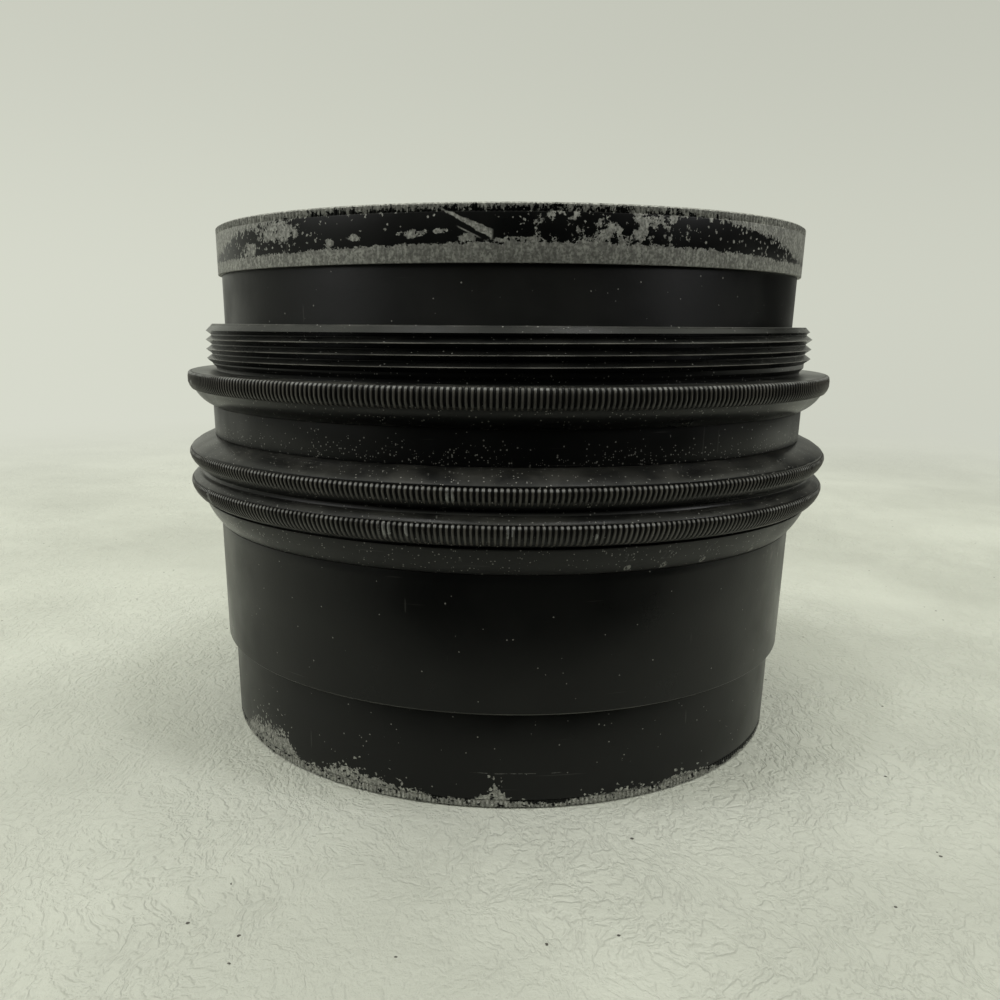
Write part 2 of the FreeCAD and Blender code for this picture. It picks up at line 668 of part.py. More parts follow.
# Base ring with the pivot holes, and the spacer that keeps it clear of the drive ring.
def make_iris_housing():
    base = turned("iris_base_ring", [
        ("base_ring_bore", "base_front"),
        ("inner_stack_radius", "base_front"),
        ("inner_stack_radius", "base_rear"),
        ("base_ring_bore", "base_rear"),
    ])
    before = base.Shape.Volume
    sketch = start_sketch(base, "pivot_hole_circle", "XY_Plane")
    sketch.setExpression(".AttachmentOffset.Base.z", expression("base_rear"))
    add_circle(sketch, "pivot_radius", "0", "stud_radius + stud_gap")
    pocket = base.newObject("PartDesign::Pocket", "pivot_hole")
    pocket.Profile = sketch
    pocket.setExpression("Length", expression("base_ring_thickness"))
    base.Tip = pocket
    check_cut(base, before)
    pattern = base.newObject("PartDesign::PolarPattern", "pivot_holes")
    pattern.Originals = [pocket]
    pattern.Axis = (sketch, ["N_Axis"])
    pattern.Angle = 360
    pattern.setExpression("Occurrences", expression("leaf_count"))
    base.Tip = pattern
    doc.recompute()
    turned("iris_spacer_ring", [
        ("inner_stack_radius - spacer_wall", "base_rear"),
        ("inner_stack_radius", "base_rear"),
        ("inner_stack_radius", "drive_front - drive_end_gap"),
        ("inner_stack_radius - spacer_wall", "drive_front - drive_end_gap"),
    ])


# Corner of a leaf's outline, on a radius and a bearing about the centre of its arc.
def leaf_corner(radius, bearing, *bend):
    return (f"{radius} * cos({bearing}) - pivot_radius", f"{radius} * sin({bearing})") + bend


# One leaf: a thin crescent that rises from its pivot to its tip, with a stud on each side.
def make_leaf(number):
    body = start_piece(f"iris_leaf_{number + 1:02d}")
    sketch = start_sketch(body, body.Name + "_outline", "XY_Plane")
    draw_outline(sketch, [
        leaf_corner("aperture_radius", "leaf_start_inner_angle", "aperture_radius", 1),
        leaf_corner("aperture_radius", "leaf_tip_inner_angle"),
        leaf_corner("leaf_outer_radius", "leaf_tip_outer_angle", "leaf_outer_radius", -1),
        leaf_corner("leaf_outer_radius", "leaf_ear_end_angle"),
        leaf_corner("leaf_ear_radius", "leaf_ear_end_angle", "leaf_ear_radius", -1),
        leaf_corner("leaf_ear_radius", "leaf_start_outer_angle"),
    ])
    # The outline lies in a plane through the pivot, which climbs along the leaf.
    bearing = math.radians(value("leaf_rise_angle"))
    hinge = FreeCAD.Vector(math.sin(bearing), -math.cos(bearing), 0)
    swing = FreeCAD.Rotation(FreeCAD.Vector(0, 0, 1), value("rest_turn"))
    climb = FreeCAD.Rotation(hinge, math.degrees(math.atan(value("leaf_slope"))))
    sketch.AttachmentOffset = FreeCAD.Placement(FreeCAD.Vector(0, 0, 0), swing.multiply(climb))
    sketch.setExpression(".AttachmentOffset.Base.x", expression("pivot_radius"))
    sketch.setExpression(".AttachmentOffset.Base.z", expression("leaf_level - leaf_thickness / 2"))
    plate = body.newObject("PartDesign::Pad", body.Name + "_plate")
    plate.Profile = sketch
    plate.setExpression("Length", expression("leaf_thickness"))
    body.Tip = plate
    doc.recompute()
    root = "leaf_slope * stud_radius + leaf_thickness"
    pivot_foot = "base_front + leaf_lift"
    stud(body, "_pivot", "pivot_radius", "0", "stud_radius", pivot_foot,
         f"leaf_level + {root} - ({pivot_foot})")
    chord = "2 * pivot_radius * sin(drive_stud_angle / 2)"
    aim = "(90 + drive_stud_angle / 2) * 1 deg + rest_turn"
    climb_there = f"{chord} * cos(90 + drive_stud_angle / 2 - leaf_rise_angle) * leaf_slope"
    drive_foot = f"leaf_level + {climb_there} - ({root})"
    stud(body, "_drive", f"pivot_radius + {chord} * cos({aim})", f"{chord} * sin({aim})", "stud_radius",
         drive_foot, f"drive_rear - leaf_lift - ({drive_foot})")
    body.Placement = FreeCAD.Placement(
        FreeCAD.Vector(0, 0, 0), FreeCAD.Rotation(FreeCAD.Vector(0, 0, 1), 360 * number / value("leaf_count")))
    doc.recompute()


# Mounting ring: flared shoulder with a rounded edge, and the core of the mounting thread.
def make_mount_ring():
    turned("mount_ring", [
        ("tube_slide_radius", "sleeve_rear"),
        ("sleeve_radius", "sleeve_rear", "flare_curve", -1),
        ("flare_radius", "sleeve_rear + flare_height", "shoulder_curve", 1),
        ("shoulder_radius", "shoulder"),
        ("thread_radius", "shoulder"),
        ("thread_radius", "thread_rear - thread_chamfer"),
        ("thread_radius - thread_chamfer", "thread_rear"),
        ("tube_slide_radius", "thread_rear"),
    ])


# Rear cell: visible rim at the top, tube into the main barrel, pocket for the cemented pair.
def make_rear_cell():
    turned("rear_cell", [
        ("pair_clear", "tube_rear - rear_cell_tube"),
        ("rear_bore_radius - fit_gap", "tube_rear - rear_cell_tube"),
        ("rear_bore_radius - fit_gap", "tube_rear"),
        ("rear_cell_radius", "tube_rear"),
        ("rear_cell_radius", "rim_rear - edge_break"),
        ("rear_cell_radius - edge_break", "rim_rear"),
        ("rear_rim_bore", "rim_rear"),
        ("rear_rim_bore", "rim_rear - rear_rim_depth"),
        ("rear_cone_radius", "rim_rear - rear_rim_depth"),
        ("rear_ring_radius + fit_gap", "rim_rear - rear_rim_depth - rear_cone_height"),
        ("rear_ring_radius + fit_gap", "pair_rear_rim - ring_step"),
        ("pair_radius + glass_gap", "pair_rear_rim - ring_step"),
        ("pair_radius + glass_gap", "pair_front_rim"),
        ("pair_clear", "pair_front_rim"),
    ])
    turned("rear_pair_front_element", [
        ("0", "pair_front_pole", "pair_front_curve", -1),
        ("pair_clear", "pair_front_rim"),
        ("pair_radius", "pair_front_rim"),
        ("pair_radius", "cement_rim", "pair_cement_curve", -1),
        ("0", "cement_pole"),
    ])
    turned("rear_pair_rear_element", [
        ("0", "cement_pole", "pair_cement_curve", 1),
        ("pair_radius", "cement_rim"),
        ("pair_radius", "pair_rear_rim"),
        ("pair_clear", "pair_rear_rim", "pair_rear_curve", 1),
        ("0", "pair_rear_pole"),
    ])
    ring = turned("rear_retaining_ring", [
        ("pair_clear", "pair_rear_rim"),
        ("rear_ring_radius", "pair_rear_rim"),
        ("rear_ring_radius", "pair_rear_rim + rear_ring_height"),
        ("pair_clear + ring_bevel", "pair_rear_rim + rear_ring_height"),
    ])
    spanner_slots(ring, "pair_rear_rim + rear_ring_height", "rear_ring_radius", False)


# Write each piece to its own file, after every object has been checked.
def write_pieces():
    doc.recompute()
    for item in doc.Objects:
        if "Invalid" in item.State or "Error" in item.State:
            raise RuntimeError(f"{item.Label} failed")
    for piece in pieces:
        if piece.Shape.isNull() or not piece.Shape.isValid() or not piece.Shape.Solids:
            raise RuntimeError(f"{piece.Label} has no valid solid")
    os.makedirs("parts", exist_ok=True)
    for piece in pieces:
        piece.Shape.exportStep(f"parts/{piece.Label}.step")
        print(f"{piece.Label}: {len(piece.Shape.Solids)} solid, {piece.Shape.Volume:.1f} mm3")


make_front_cell()
make_front_barrel()
make_second_cell()
make_main_barrel()
make_iris_ring()
make_iris_housing()
make_drive_ring()
for leaf_number in range(int(value("leaf_count"))):
    make_leaf(leaf_number)
make_mount_ring()
make_rear_cell()
write_pieces()
print(f"leaf turn at rest {value('rest_turn'):.4f} degrees, closed {value('closed_turn'):.4f} degrees")
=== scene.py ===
# %% [markdown]
# A large barrel lens, standing on its front rim with its rear end up.
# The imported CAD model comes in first. It fixes every size and place, so nothing below has to be fitted.
# The outer shells get turned again here, because a fine edge break and a knurl need more than the
# plain solids show. The inner pieces keep their CAD shape and only get a finish.

# %% Load the frame
import json
import math
import bpy
from mathutils import Matrix, Vector


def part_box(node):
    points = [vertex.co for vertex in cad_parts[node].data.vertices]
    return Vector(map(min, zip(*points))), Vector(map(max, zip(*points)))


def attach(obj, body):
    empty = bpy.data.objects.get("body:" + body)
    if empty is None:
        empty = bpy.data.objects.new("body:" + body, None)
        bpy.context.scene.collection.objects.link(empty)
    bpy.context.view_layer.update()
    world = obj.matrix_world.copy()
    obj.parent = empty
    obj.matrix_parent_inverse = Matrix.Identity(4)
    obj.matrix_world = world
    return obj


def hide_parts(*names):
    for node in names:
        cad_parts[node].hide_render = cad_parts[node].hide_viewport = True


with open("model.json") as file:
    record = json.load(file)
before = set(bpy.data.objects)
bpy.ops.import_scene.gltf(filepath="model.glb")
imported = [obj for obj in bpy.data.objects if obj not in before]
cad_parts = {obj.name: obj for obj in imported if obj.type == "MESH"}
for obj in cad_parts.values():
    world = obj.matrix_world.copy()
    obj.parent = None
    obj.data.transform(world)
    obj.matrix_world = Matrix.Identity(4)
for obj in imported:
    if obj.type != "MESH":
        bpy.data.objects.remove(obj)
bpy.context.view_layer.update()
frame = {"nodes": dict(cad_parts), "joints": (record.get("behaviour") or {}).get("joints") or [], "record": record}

# %% [markdown]
# Each node's box gives its lowest and highest point and its outer radius. These few lengths carry everything
# that follows. What a box can't give, such as a bore or a wall, is written once as a named value.

# %% Read the heights and radii from the frame
MM = 0.001


def height_of(node):
    low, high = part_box(node)
    return low.z / MM, high.z / MM


def radius_of(node):
    low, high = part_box(node)
    return (high.x - low.x) / 2 / MM


FRONT_RIM, SPIGOT_END = height_of("front_cell")
BARREL_FRONT, BARREL_REAR = height_of("front_barrel")
RING_FRONT, RING_REAR = height_of("iris_ring")
MOUNT_FRONT, THREAD_REAR = height_of("mount_ring")
TUBE_FRONT, TUBE_REAR = height_of("main_barrel")
POCKET_FRONT, REAR_RIM = height_of("rear_cell")
BARREL_RADIUS = radius_of("front_barrel")
TUBE_RADIUS = 48.7
TUBE_BORE = 46.0
FRONT_BORE = 46.5
RIM_BORE = 46.0
SLIDE_GAP = 0.05
END_GAP = 0.05
SLEEVE_RADIUS = 51.4
print(f"front barrel {BARREL_FRONT:.2f} to {BARREL_REAR:.2f} mm, radius {BARREL_RADIUS:.2f} mm")

# %% [markdown]
# The camera comes first, because every later decision is judged through it. The photo was taken from close
# by and slightly above the middle of the lens, so the near edges curve strongly. The lens of the camera, its
# place and its small tilt were worked out from the turned edges, which are true circles on the real thing.
# The photo's frame is not centred on the optical axis of its camera, which the two shifts take up.

# %% Camera
CAMERA_PLACE = Vector((-7.51, -174.07, 68.86)) * MM
CAMERA_DIP = math.radians(16.462)
CAMERA_ROLL = math.radians(0.386)
camera_data = bpy.data.cameras.new("camera")
camera_data.lens = 33.57
camera_data.sensor_width = 36.0
camera_data.shift_x = 0.0388
camera_data.shift_y = 0.1011
camera_data.clip_start = 0.01
camera = bpy.data.objects.new("camera", camera_data)
bpy.context.scene.collection.objects.link(camera)
tip = Matrix.Rotation(math.pi / 2 - CAMERA_DIP, 4, "X")
roll = Matrix.Rotation(CAMERA_ROLL, 4, "Z")
camera.matrix_world = Matrix.Translation(CAMERA_PLACE) @ tip @ roll
bpy.context.scene.camera = camera
print("camera", [round(c, 4) for c in camera.location], "looking down", round(math.degrees(CAMERA_DIP), 2))

# %% [markdown]
# Materials are built from nodes, and the same few steps come back in each: a node, a piece of arithmetic, a
# noise, a soft threshold. Small helpers keep the recipes short enough to read.

# %% Node helpers


def add(tree, kind, inputs=None, **settings):
    made = tree.nodes.new(kind)
    for name, value in settings.items():
        setattr(made, name, value)
    for name, value in (inputs or {}).items():
        socket = made.inputs[name]
        if isinstance(value, bpy.types.NodeSocket):
            tree.links.new(value, socket)
        else:
            socket.default_value = value
    return made


def calc(tree, operation, first, second=0.0, third=0.0):
    made = add(tree, "ShaderNodeMath", {0: first, 1: second, 2: third}, operation=operation)
    return made.outputs[0]


def ramp(tree, value, low, high, out_low=0.0, out_high=1.0):
    made = add(tree, "ShaderNodeMapRange", {"Value": value, "From Min": low, "From Max": high,
                                            "To Min": out_low, "To Max": out_high},
               interpolation_type="SMOOTHSTEP", clamp=True)
    return made.outputs["Result"]


def band(tree, value, low, high, soft):
    rise = ramp(tree, value, low - soft, low + soft)
    fall = ramp(tree, value, high - soft, high + soft, 1.0, 0.0)
    return calc(tree, "MULTIPLY", rise, fall)


def noise(tree, place, scale, detail=3.0, roughness=0.55):
    made = add(tree, "ShaderNodeTexNoise", {"Vector": place, "Scale": scale, "Detail": detail,
                                            "Roughness": roughness})
    return made.outputs[0]


def blend_colours(tree, amount, first, second):
    made = add(tree, "ShaderNodeMix", data_type="RGBA")
    sockets = {"Factor": amount, "A": first, "B": second}
    for socket in made.inputs:
        if socket.name in sockets and socket.enabled:
            value = sockets[socket.name]
            if isinstance(value, bpy.types.NodeSocket):
                tree.links.new(value, socket)
            else:
                socket.default_value = value
    return next(socket for socket in made.outputs if socket.enabled)


def start_material(name):
    material = bpy.data.materials.new(name)
    material.use_nodes = True
    tree = material.node_tree
    shader = tree.nodes["Principled BSDF"]
    place = add(tree, "ShaderNodeTexCoord").outputs["Object"]
    return material, tree, shader, place


def stretched(tree, place, x, y, z):
    return add(tree, "ShaderNodeMapping", {"Vector": place, "Scale": (x, y, z)}).outputs["Vector"]


# Height above the table in millimetres, and the bearing from the camera side, in degrees, right positive.
def round_place(tree, place):
    parts = add(tree, "ShaderNodeSeparateXYZ", {"Vector": place})
    height = calc(tree, "MULTIPLY", parts.outputs["Z"], 1 / MM)
    nearness = calc(tree, "MULTIPLY", parts.outputs["Y"], -1.0)
    bearing = calc(tree, "ARCTAN2", parts.outputs["X"], nearness)
    return height, calc(tree, "MULTIPLY", bearing, 180 / math.pi)


# Distance from the optical axis in millimetres.
def round_reach(tree, place):
    parts = add(tree, "ShaderNodeSeparateXYZ", {"Vector": place})
    flat = add(tree, "ShaderNodeCombineXYZ", {"X": parts.outputs["X"], "Y": parts.outputs["Y"]})
    length = add(tree, "ShaderNodeVectorMath", {0: flat.outputs[0]}, operation="LENGTH")
    return calc(tree, "MULTIPLY", length.outputs["Value"], 1 / MM)


# %% [markdown]
# Most of the lens has one finish: black enamel, dulled by years of handling. It is nearly black where it faces
# the dark room and turns grey only where it mirrors the pale surroundings at a low angle, so the colour itself
# is kept very dark and the gloss does the work. Three things break the black: fine dust on all that faces up,
# pale specks, and hairline scratches. Each is a noise with a threshold, laid over the enamel.

# %% Black enamel
ENAMEL = (0.0026, 0.0029, 0.0031, 1)
DUST = (0.105, 0.102, 0.092, 1)
SPECK = (0.24, 0.235, 0.22, 1)
ENAMEL_GLOSS = 0.24
SPECKS_PER_METRE = 3600.0
GRAIN_DEPTH = 0.0001


def dust_amount(tree, place, lowest, highest):
    up = add(tree, "ShaderNodeSeparateXYZ", {"Vector": add(tree, "ShaderNodeNewGeometry").outputs["Normal"]})
    facing = ramp(tree, up.outputs["Z"], 0.1, 0.9)
    patches = noise(tree, place, 160.0, 5.0)
    amount = ramp(tree, patches, 0.35, 0.75, lowest, highest)
    return calc(tree, "MULTIPLY", facing, amount)


def speck_amount(tree, place, share):
    cells = add(tree, "ShaderNodeTexVoronoi", {"Vector": place, "Scale": SPECKS_PER_METRE})
    chance = add(tree, "ShaderNodeSeparateColor", {"Color": cells.outputs["Color"]})
    chosen = calc(tree, "LESS_THAN", chance.outputs[0], share)
    size = ramp(tree, chance.outputs[1], 0.0, 1.0, 0.12, 0.42)
    inside = calc(tree, "LESS_THAN", cells.outputs["Distance"], size)
    return calc(tree, "MULTIPLY", chosen, inside)


def scratch_amount(tree, place, strength):
    lines = noise(tree, stretched(tree, place, 1500.0, 1500.0, 110.0), 1.0, 1.0)
    across = noise(tree, stretched(tree, place, 70.0, 70.0, 2600.0), 1.0, 1.0)
    both = calc(tree, "MAXIMUM", ramp(tree, lines, 0.77, 0.80), ramp(tree, across, 0.76, 0.80))
    return calc(tree, "MULTIPLY", both, strength)


def enamel_colour(tree, place, dust_low=0.02, dust_high=0.25, specks=0.01, haze=0.03):
    clouds = noise(tree, place, 45.0, 4.0)
    base = blend_colours(tree, ramp(tree, clouds, 0.3, 0.75, 0.0, haze), ENAMEL, DUST)
    scratched = blend_colours(tree, scratch_amount(tree, place, 0.10), base, SPECK)
    dusted = blend_colours(tree, dust_amount(tree, place, dust_low, dust_high), scratched, DUST)
    return blend_colours(tree, speck_amount(tree, place, specks), dusted, SPECK)


def enamel_surface(tree, shader, place, low=0.26, high=0.42):
    handled = noise(tree, place, 70.0, 4.0)
    tree.links.new(ramp(tree, handled, 0.25, 0.75, low, high), shader.inputs["Roughness"])
    grain = noise(tree, place, 2600.0, 2.0)
    bump = add(tree, "ShaderNodeBump", {"Height": grain, "Strength": 0.08, "Distance": GRAIN_DEPTH})
    tree.links.new(bump.outputs["Normal"], shader.inputs["Normal"])
    shader.inputs["Specular IOR Level"].default_value = ENAMEL_GLOSS


def make_enamel(name, **amounts):
    material, tree, shader, place = start_material(name)
    tree.links.new(enamel_colour(tree, place, **amounts), shader.inputs["Base Color"])
    enamel_surface(tree, shader, place)
    return material


black_enamel = make_enamel("black_enamel", specks=0.004)
dusty_enamel = make_enamel("dusty_enamel", dust_low=0.04, dust_high=0.45, specks=0.12, haze=0.05)
print("made", black_enamel.name, "and", dusty_enamel.name)

# %% [markdown]
# The front barrel has the same enamel, and two marks of its own. Its lower edge carries a thin bright line all the
# way round, and there is a dull smudge on its right.

# %% Enamel of the front barrel
EDGE_LINE = (0.13, 0.13, 0.12, 1)
SMUDGE_BEARING, SMUDGE_HALF_ANGLE = 54.0, 5.0
SMUDGE_HEIGHT, SMUDGE_HALF_HEIGHT = 34.6, 1.6


def make_barrel_enamel():
    material, tree, shader, place = start_material("barrel_enamel")
    height, bearing = round_place(tree, place)
    uneven = ramp(tree, noise(tree, place, 150.0, 3.0), 0.3, 0.7, 0.45, 1.0)
    edge = ramp(tree, height, BARREL_FRONT + 0.12, BARREL_FRONT + 0.3, 1.0, 0.0)
    edge = calc(tree, "MULTIPLY", edge, uneven)
    across = calc(tree, "ABSOLUTE", calc(tree, "MULTIPLY_ADD", bearing, 1 / SMUDGE_HALF_ANGLE,
                                         -SMUDGE_BEARING / SMUDGE_HALF_ANGLE))
    along = calc(tree, "ABSOLUTE", calc(tree, "MULTIPLY_ADD", height, 1 / SMUDGE_HALF_HEIGHT,
                                        -SMUDGE_HEIGHT / SMUDGE_HALF_HEIGHT))
    near = ramp(tree, calc(tree, "ADD", across, along), 0.3, 1.2, 1.0, 0.0)
    smudge = calc(tree, "MULTIPLY", near, ramp(tree, noise(tree, place, 900.0, 4.0), 0.45, 0.65, 0.0, 0.5))
    enamel = enamel_colour(tree, place, specks=0.004)
    marked = blend_colours(tree, smudge, enamel, DUST)
    tree.links.new(blend_colours(tree, edge, marked, EDGE_LINE), shader.inputs["Base Color"])
    enamel_surface(tree, shader, place)
    return material


barrel_enamel = make_barrel_enamel()
print("made", barrel_enamel.name)

# %% [markdown]
# Specks gather on the sleeve between the two knurls, where a cloth doesn't reach. So its speck share is not one
# number. It grows from the open middle of the sleeve towards the bead under it.

# %% Speckled enamel of the sleeve


def make_sleeve_enamel():
    material, tree, shader, place = start_material("sleeve_enamel")
    height, bearing = round_place(tree, place)
    share = ramp(tree, height, RING_REAR + 4.5, RING_REAR - 1.0, 0.03, 0.45)
    neck = ramp(tree, height, MOUNT_FRONT, THREAD_REAR, 1.0, 0.3)
    share = calc(tree, "MULTIPLY", share, neck)
    clumps = ramp(tree, noise(tree, place, 130.0, 3.0), 0.3, 0.7, 0.25, 1.3)
    specks = calc(tree, "MULTIPLY", share, clumps)
    tree.links.new(enamel_colour(tree, place, specks=specks, haze=0.06), shader.inputs["Base Color"])
    enamel_surface(tree, shader, place, 0.30, 0.50)
    return material


sleeve_enamel = make_sleeve_enamel()
print("made", sleeve_enamel.name)

# %% [markdown]
# The rear rim has lost much of its paint, down to grey aluminium. Paint goes first where hands and table tops
# rub: along both edges and at the two sides. A curve gives the height of each border over the bearing, and the
# flakes themselves are the cells of a Voronoi pattern: a cell is bare when its own random number is below the
# chance for its place. The same mask changes gloss and metalness, because bare metal shines differently.

# %% Flakes
BARE_METAL = (0.50, 0.50, 0.465, 1)
DARK_METAL = (0.15, 0.15, 0.139, 1)
PAINT_STEP = 0.00005


# A curve through (bearing, millimetres) points, as a node.
def height_curve(tree, bearing, points):
    tallest = max(height for _, height in points)
    node = add(tree, "ShaderNodeFloatCurve", {"Value": calc(tree, "MULTIPLY_ADD", bearing, 1 / 360, 0.5)})
    curve = node.mapping.curves[0]
    for place, (angle, height) in enumerate(points):
        spot = (0.5 + angle / 360, height / tallest)
        if place < 2:
            curve.points[place].location = spot
        else:
            curve.points.new(*spot)
    for point in curve.points:
        point.handle_type = "VECTOR"
    node.mapping.update()
    return calc(tree, "MULTIPLY", node.outputs[0], tallest)


# Bare flakes: each cell of a crumbled pattern goes bare with the chance given for its place.
def flakes(tree, place, chance, fineness=3400.0):
    push = add(tree, "ShaderNodeTexNoise", {"Vector": place, "Scale": fineness * 0.8, "Detail": 2.0})
    centred = add(tree, "ShaderNodeVectorMath", {0: push.outputs["Color"], 1: (0.5, 0.5, 0.5)},
                  operation="SUBTRACT")
    shifted = add(tree, "ShaderNodeVectorMath", {0: centred.outputs[0], 1: (1.1 / fineness,) * 3, 2: place},
                  operation="MULTIPLY_ADD")
    cells = add(tree, "ShaderNodeTexVoronoi", {"Vector": shifted.outputs[0], "Scale": fineness})
    number = add(tree, "ShaderNodeSeparateColor", {"Color": cells.outputs["Color"]}).outputs[0]
    return calc(tree, "LESS_THAN", number, chance)


def highest_of(tree, amounts):
    most = amounts[0]
    for amount in amounts[1:]:
        most = calc(tree, "MAXIMUM", most, amount)
    return most


# A rubbed place: an oval with a ragged outline, centred on a bearing and a height.
def rubbed_place(tree, bearing, height, ragged, centre, reach):
    across = calc(tree, "MULTIPLY_ADD", bearing, 1 / reach[0], -centre[0] / reach[0])
    along = calc(tree, "MULTIPLY_ADD", height, 1 / reach[1], -centre[1] / reach[1])
    far = calc(tree, "SQRT", calc(tree, "ADD", calc(tree, "POWER", calc(tree, "ABSOLUTE", across), 2.0),
                                  calc(tree, "POWER", calc(tree, "ABSOLUTE", along), 2.0)))
    return ramp(tree, calc(tree, "ADD", far, ragged), 0.8, 1.0, 1.0, 0.0)


# Only what a hand or a table reaches is worn. Within the bore of the rim the black is whole.
def finish_worn(tree, shader, place, worn, paint, bore):
    worn = calc(tree, "MULTIPLY", worn, ramp(tree, round_reach(tree, place), bore + 0.05, bore + 0.25))
    streaks = noise(tree, stretched(tree, place, 1900.0, 1900.0, 900.0), 1.0, 4.0)
    pits = noise(tree, place, 2900.0, 3.0)
    tone = calc(tree, "MULTIPLY", ramp(tree, streaks, 0.35, 0.65, 0.3, 1.0),
                ramp(tree, pits, 0.38, 0.58, 0.25, 1.0))
    metal = blend_colours(tree, tone, DARK_METAL, BARE_METAL)
    tree.links.new(blend_colours(tree, worn, paint, metal), shader.inputs["Base Color"])
    tree.links.new(calc(tree, "MULTIPLY", worn, 0.3), shader.inputs["Metallic"])
    handled = noise(tree, place, 90.0, 3.0)
    smooth = ramp(tree, handled, 0.2, 0.8, 0.26, 0.42)
    tree.links.new(calc(tree, "MULTIPLY_ADD", worn, 0.22, smooth), shader.inputs["Roughness"])
    step = calc(tree, "MULTIPLY_ADD", pits, 0.25, calc(tree, "MULTIPLY", worn, -1.0))
    bump = add(tree, "ShaderNodeBump", {"Height": step, "Strength": 0.5, "Distance": PAINT_STEP})
    tree.links.new(bump.outputs["Normal"], shader.inputs["Normal"])
    shader.inputs["Specular IOR Level"].default_value = ENAMEL_GLOSS


# %% [markdown]
# On the rear rim two borders close in on a black band: a lower one that stays level, and an upper one that
# comes down at both sides, where a hand takes hold. In front the paint is broken through in a few spots, and
# a slanting scrape crosses it. Each spot is an oval: its bearing and height, then its reach both ways.

# %% Worn enamel of the rear rim
RUBBED_SPOTS = [((-16.5, 3.5), (2.2, 0.55)), ((-12.2, 3.8), (1.4, 0.35)), ((-26.5, 3.2), (1.3, 0.5)),
                ((-31.0, 2.7), (1.4, 0.5)), ((-43.0, 4.6), (6.0, 1.4)), ((-51.0, 2.6), (3.0, 0.9)),
                ((-1.0, 2.7), (4.5, 0.4)), ((-8.2, 2.9), (1.6, 0.6))]
BROKEN_PATCH = (14.5, 4.6), (13.0, 2.8)
SCRAPE_SLANT = 0.40
SCRAPE_LEVEL = 1.55


def make_worn_rear():
    material, tree, shader, place = start_material("worn_rear_enamel")
    height, bearing = round_place(tree, place)
    level = calc(tree, "SUBTRACT", height, TUBE_REAR)
    low_border = height_curve(tree, bearing, [
        (-180, 2.4), (-80, 1.9), (-60, 1.5), (-35, 1.8), (-10, 2.3), (12, 2.5), (28, 2.2), (50, 1.6),
        (75, 1.6), (180, 2.4)])
    high_border = height_curve(tree, bearing, [
        (-180, 5.4), (-120, 5.9), (-80, 1.8), (-66, 2.9), (-56, 4.9), (-42, 5.8), (-30, 6.4), (18, 6.7),
        (27, 6.2), (37, 5.4), (50, 3.9), (58, 2.2), (78, 1.6), (120, 5.8), (180, 5.4)])
    ragged = calc(tree, "MULTIPLY_ADD", noise(tree, place, 700.0, 5.0, 0.65), 1.5, -0.75)
    streaks = noise(tree, stretched(tree, place, 1500.0, 1500.0, 260.0), 1.0, 4.0)
    brushed = calc(tree, "MULTIPLY_ADD", streaks, 3.2, -1.6)
    over_low = calc(tree, "SUBTRACT", calc(tree, "ADD", level, ragged), low_border)
    over_high = calc(tree, "SUBTRACT", calc(tree, "ADD", level, brushed), high_border)
    under = ramp(tree, over_low, -0.15, 0.25, 1.0, 0.0)
    over = ramp(tree, over_high, -0.35, 0.5)
    crumbled = calc(tree, "MULTIPLY_ADD", noise(tree, place, 900.0, 5.0, 0.7), 2.2, -1.1)
    broken = ramp(tree, noise(tree, place, 420.0, 4.0, 0.7), 0.47, 0.56, 0.0, 1.0)
    patch = calc(tree, "MULTIPLY", rubbed_place(tree, bearing, level, crumbled, *BROKEN_PATCH), broken)
    partly = ramp(tree, noise(tree, place, 800.0, 3.0), 0.36, 0.5, 0.25, 1.0)
    rubbed = [calc(tree, "MULTIPLY", rubbed_place(tree, bearing, level, crumbled, *spot), partly)
              for spot in RUBBED_SPOTS]
    sliding = calc(tree, "MULTIPLY_ADD", bearing, SCRAPE_SLANT, level)
    widening = ramp(tree, bearing, -12.0, -5.0, 0.25, 1.05)
    centred = calc(tree, "ABSOLUTE", calc(tree, "SUBTRACT", sliding, SCRAPE_LEVEL))
    wedge = ramp(tree, calc(tree, "SUBTRACT", calc(tree, "MULTIPLY_ADD", crumbled, 0.35, centred),
                            calc(tree, "MULTIPLY", widening, 0.5)), -0.06, 0.06, 1.0, 0.0)
    scrape = calc(tree, "MULTIPLY", wedge, band(tree, bearing, -12.3, -4.6, 0.3))
    scrape_two = calc(tree, "MULTIPLY", band(tree, sliding, 0.35, 0.5, 0.08),
                      band(tree, bearing, -9.5, -6.5, 0.5))
    stray = ramp(tree, calc(tree, "ABSOLUTE", bearing), 20.0, 60.0, 0.008, 0.10)
    chance = highest_of(tree, [under, over, patch, stray] + rubbed)
    worn = highest_of(tree, [flakes(tree, place, chance), scrape, scrape_two])
    finish_worn(tree, shader, place, worn, enamel_colour(tree, place, specks=0.01), RIM_BORE)
    return material


